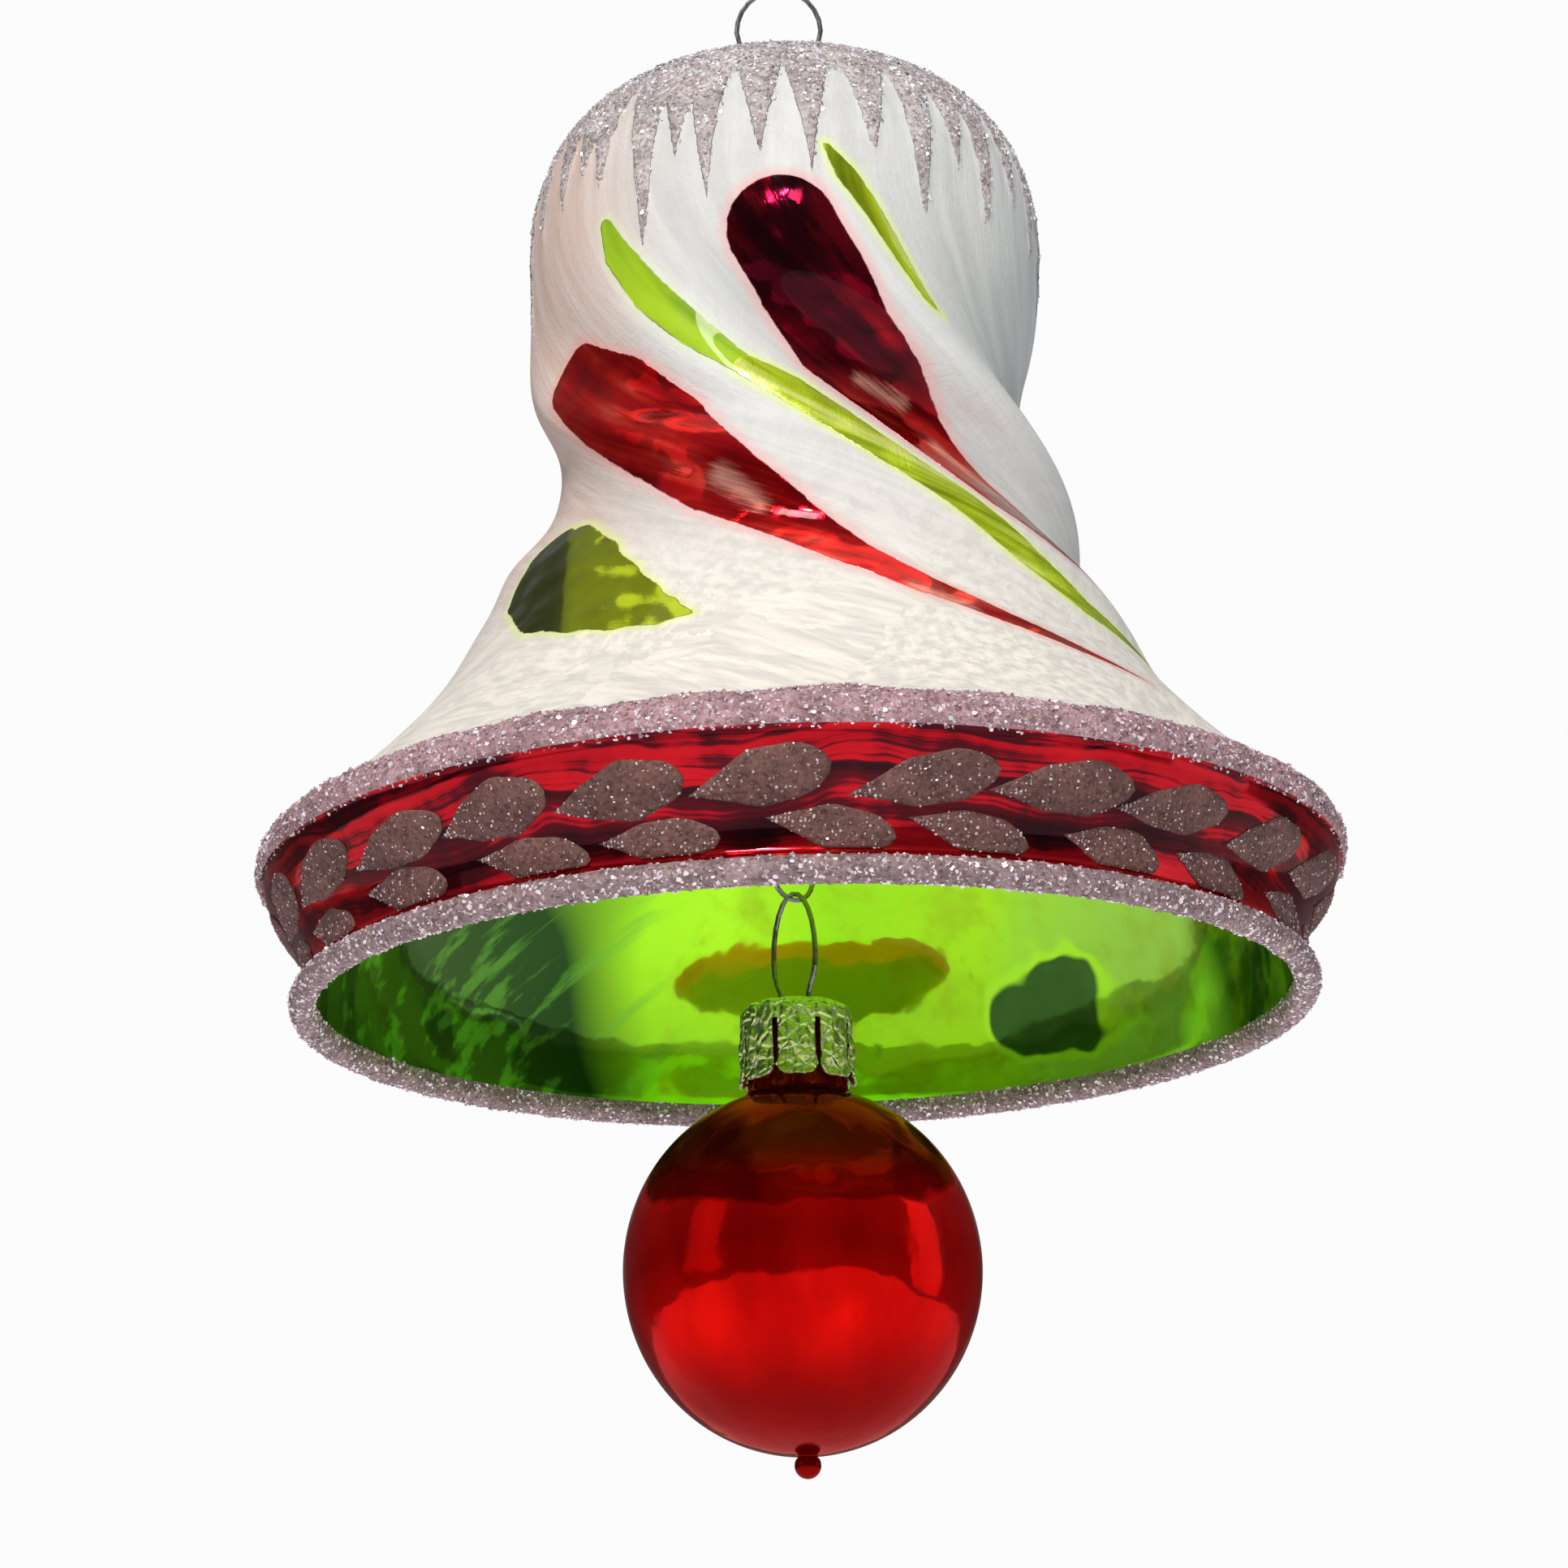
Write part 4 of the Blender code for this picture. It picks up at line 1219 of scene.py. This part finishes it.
# painted reflection: the clapper's cap is tinted green as if it mirrored the bowl
bowlReflectionSheet = makeCapSheet("clapperCapSheet", *caps["bowlReflectionGreen"])
springWire = makeSpringWire()
clapperX = joints["clapper_swing"]["pos_m"][0]
buildCap("bellCapDrawn", "bell_cap", "bell", 0, silverSheet)
buildCap("clapperCapDrawn", "clapper_cap", "clapper", clapperX, bowlReflectionSheet)
for wireName in ("bell_loop", "clapper_eye", "hanger_link", "clapper_loop"):
    wireNode = frame["nodes"][wireName]
    wireNode.data.materials.clear()
    wireNode.data.materials.append(springWire)
print("caps drawn and wires finished")


# The clapper's ball

ball = {
    "columns": 128,
    "wall": 0.0008,
    "halfHeight": 0.0153,
    "pipRadius": 0.0011,
    "pipLength": 0.0019,
    "neckInset": 0.00083,
    "red": ((0.52, 0.0, 0.0), (0.86, 0.003, 0.001)),
    "edge": (0.22, 0.010, 0.0),
    "foot": (0.16, 0.0, 0.0),
    "topShadeAndReflection": ((0.10, 0.006, 0.001), (0.26, 0.05, 0.004)),
}

ballLow, ballHigh = (Vector(corner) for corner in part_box("clapper_ball"))
ballMiddle = ballLow.z + ball["pipLength"] + ball["halfHeight"]


def makeBallLacquer():
    material, tree, shader = newMaterial("ballLacquer")
    here = places(tree)
    glass = placeGroup(tree, blownGlass, {"Vector": here, "Scale": 0.1, "Lines": 0.05})
    settings = {"Vector": here, "Scale": 0.16, "Stretch": 0.05, "Contrast": 0.2}
    streaks = placeGroup(tree, brushStreaks, settings)
    height = calc(tree, "SUBTRACT", axisOf(tree, here, "Z"), ballMiddle / mm)
    facing = addNode(tree, "LayerWeight", {"Blend": 0.42}).outputs["Facing"]
    tone = blendColors(tree, streaks["Streak"], *ball["red"])
    # painted shade: darker towards the ball's sides
    tone = blendColors(tree, remap(tree, facing, 0.45, 1.0, 0.0, 0.6), tone, ball["edge"])
    tone = blendColors(tree, remap(tree, height, -5.0, -13.0, 0.0, 0.85), tone, ball["foot"])
    # painted shade and painted reflection: dark brown-orange over the ball's top
    topShadeAndReflection = blendColors(tree, glass["Cloud"], *ball["topShadeAndReflection"])
    looks = {
        "Base Color": blendColors(tree, remap(tree, height, 4.5, 9.0, 0.0, 0.8), tone, topShadeAndReflection),
        "Metallic": 0.8,
        "Roughness": remap(tree, glass["Cloud"], 0.3, 0.7, 0.05, 0.14),
        "Specular IOR Level": 0.2,
        "Specular Tint": (1.0, 0.25, 0.18, 1.0),
        "Coat Weight": 0.05,
        "Coat Roughness": 0.03,
        "Normal": bumped(tree, glass["Height"], 0.0016, 0.6),
    }
    fill(tree, shader, looks)
    return material


def ballOutlines():
    # the outer wall from the neck to the pip, and the wall inside from its foot up the bore
    radius, wall = (ballHigh.x - ballLow.x) / 2, ball["wall"]
    tip, bottom = ballLow.z, ballLow.z + ball["pipLength"]
    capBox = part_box("clapper_cap")
    neck = (capBox[1][0] - capBox[0][0]) / 2 - ball["neckInset"]
    angle = np.linspace(math.asin((neck + 0.0009) / radius), math.pi - 0.075, 90)
    circle = np.stack([np.sin(angle), np.cos(angle)], axis=1)
    shell = circle * (radius, ball["halfHeight"]) + (0, ballMiddle)
    inner = (circle * (radius - wall, ball["halfHeight"] - wall) + (0, ballMiddle))[::6]
    edge = shell[0, 1]
    top = (neck, edge + 0.0022)
    throat = bezier(top, (neck, edge + 0.0008), (neck + 0.0002, edge + 0.0003), shell[0], 10)
    pip = arc((0, tip + ball["pipRadius"]), ball["pipRadius"], 30, -88, 16)
    stem = bezier(shell[-1], (0.0008, bottom + 0.0001), (0.00075, bottom - 0.0002), pip[0], 8)
    outside = np.concatenate([[(neck, ballHigh.z)], throat[:-1], shell[:-1], stem[:-1], pip])
    inside = np.concatenate([inner[::-1], [(neck - wall, edge + 0.0002), (neck - wall, ballHigh.z)]])
    return outside, inside


def buildBall():
    outside, inside = ballOutlines()
    profile = np.concatenate([outside, inside])
    rows, columns, split = len(profile), ball["columns"], len(outside)
    turn = np.linspace(0, 2 * math.pi, columns, endpoint=False)
    points = turned(profile[:, :1], turn, profile[:, 1:]) + (clapperX, 0, 0)
    quads = wrapFaces(rows, columns)
    faces = np.delete(quads, split - 1, axis=0).reshape(-1, 4).tolist()
    faces.append(quads[split - 1, :, 0].tolist())  # the pip's end, then the foot of the hollow
    faces.append(quads[split, ::-1, 0].tolist())
    obj = meshObject("clapperBallBlown", points.reshape(-1, 3), faces, [ballLacquer], "clapper")
    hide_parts("clapper_ball")


ballLacquer = makeBallLacquer()
buildBall()
print("clapper ball blown")


# Floor, light and camera

studio = {
    "floorDrop": 0.5,
    "floorGlow": 0.8,
    "floorSize": 6.0,
    "floorTone": (0.86, 0.86, 0.85),
    "room": ((0.0, (0.20, 0.20, 0.21)), (0.35, (0.13, 0.135, 0.145)), (1.0, (0.34, 0.345, 0.36))),
    "dim": (0.52, 0.53, 0.55),
    "backdrop": (0.97, 0.97, 0.97),
    "aim": 0.0196,
    "sidestep": -0.0013,
    "distance": 0.365,
    "lookUp": 17.0,
    "roll": -1.5,
    "lens": 97.73,
}

# Each lamp: place, width and height, watts, colour
lamps = {
    "keyLight": ((-0.10, -0.48, 0.40), (0.14, 0.14), 2.5, (1.0, 0.955, 0.89)),
    "leftLight": ((-0.55, -0.25, 0.12), (0.3, 0.5), 0.16, (1.0, 0.84, 0.78)),
    "rightLight": ((0.6, 0.0, 0.05), (0.25, 0.5), 0.34, (0.80, 0.90, 1.0)),
    "topLight": ((0.0, 0.15, 0.6), (0.5, 0.5), 0.7, (1.0, 1.0, 1.0)),
    "frontLow": ((0.05, -0.40, -0.25), (0.24, 0.03), 0.3, (1.0, 0.97, 0.90)),
    "sunGlint": ((-0.10, -0.6, 0.34), (0.03, 0.03), 1.6, (1.0, 0.98, 0.94)),
}


def hangLamp(name, place, size, power, tint):
    light = bpy.data.lights.new(name, "AREA")
    light.shape = "RECTANGLE"
    light.size, light.size_y = size
    light.energy = power
    light.color = tint
    obj = bpy.data.objects.new(name, light)
    obj.location = place
    aim = Vector((0, 0, rimZ + 0.02))
    obj.rotation_euler = (aim - Vector(place)).to_track_quat("-Z", "Y").to_euler()
    obj.visible_glossy = name != "frontLow"
    bpy.context.scene.collection.objects.link(obj)


def makeFloorPaper():
    material, tree, shader = newMaterial("paleFloor")
    tone = studio["floorTone"]
    soft = noiseOf(tree, places(tree), 0.02, 2.0)
    looks = {
        "Base Color": blendColors(tree, soft, tuple(0.97 * c for c in tone), tone),
        "Roughness": 0.9,
        "Emission Color": (*tone, 1.0),
        "Emission Strength": studio["floorGlow"],
    }
    fill(tree, shader, looks)
    return material


def buildFloor():
    half, z = studio["floorSize"] / 2, cadBounds[0][2] - studio["floorDrop"]
    mesh = bpy.data.meshes.new("floor")
    corners = [(-half, -half, z), (half, -half, z), (half, half, z), (-half, half, z)]
    mesh.from_pydata(corners, [], [(0, 1, 2, 3)])
    mesh.materials.append(makeFloorPaper())
    floor = bpy.data.objects.new("floor", mesh)
    bpy.context.scene.collection.objects.link(floor)


def buildRoom():
    world = bpy.data.worlds.new("studio")
    world.use_nodes = True
    tree = world.node_tree
    path = addNode(tree, "LightPath").outputs
    direction = addNode(tree, "TexCoord").outputs["Generated"]
    around = ramp(tree, remap(tree, axisOf(tree, direction, "Z"), -0.4, 1.0), studio["room"])
    # mirrored glass sees the whole room, matte surfaces only a little of it, so the folds keep their shading
    dimmed = blendColors(tree, 1.0, around, studio["dim"], "MULTIPLY")
    room = blendColors(tree, path["Is Glossy Ray"], dimmed, around)
    shown = blendColors(tree, path["Is Camera Ray"], room, studio["backdrop"])
    fill(tree, tree.nodes["Background"], {"Color": shown, "Strength": 1.0})
    bpy.context.scene.world = world


def buildCamera():
    data = bpy.data.cameras.new("camera")
    data.sensor_width = 36.0
    data.lens = studio["lens"]
    camera = bpy.data.objects.new("camera", data)
    aim = Vector((studio["sidestep"], 0, rimZ + studio["aim"]))
    rise = math.radians(studio["lookUp"])
    camera.location = aim - Vector((0, math.cos(rise), math.sin(rise))) * studio["distance"]
    look = (aim - camera.location).to_track_quat("-Z", "Y").to_matrix().to_4x4()
    camera.rotation_euler = (look @ Matrix.Rotation(math.radians(studio["roll"]), 4, "Z")).to_euler()
    bpy.context.scene.collection.objects.link(camera)
    bpy.context.scene.camera = camera


buildFloor()
for lampName, lamp in lamps.items():
    hangLamp(lampName, *lamp)
buildRoom()
buildCamera()
bpy.context.scene.view_settings.view_transform = "Standard"
print("studio lit")
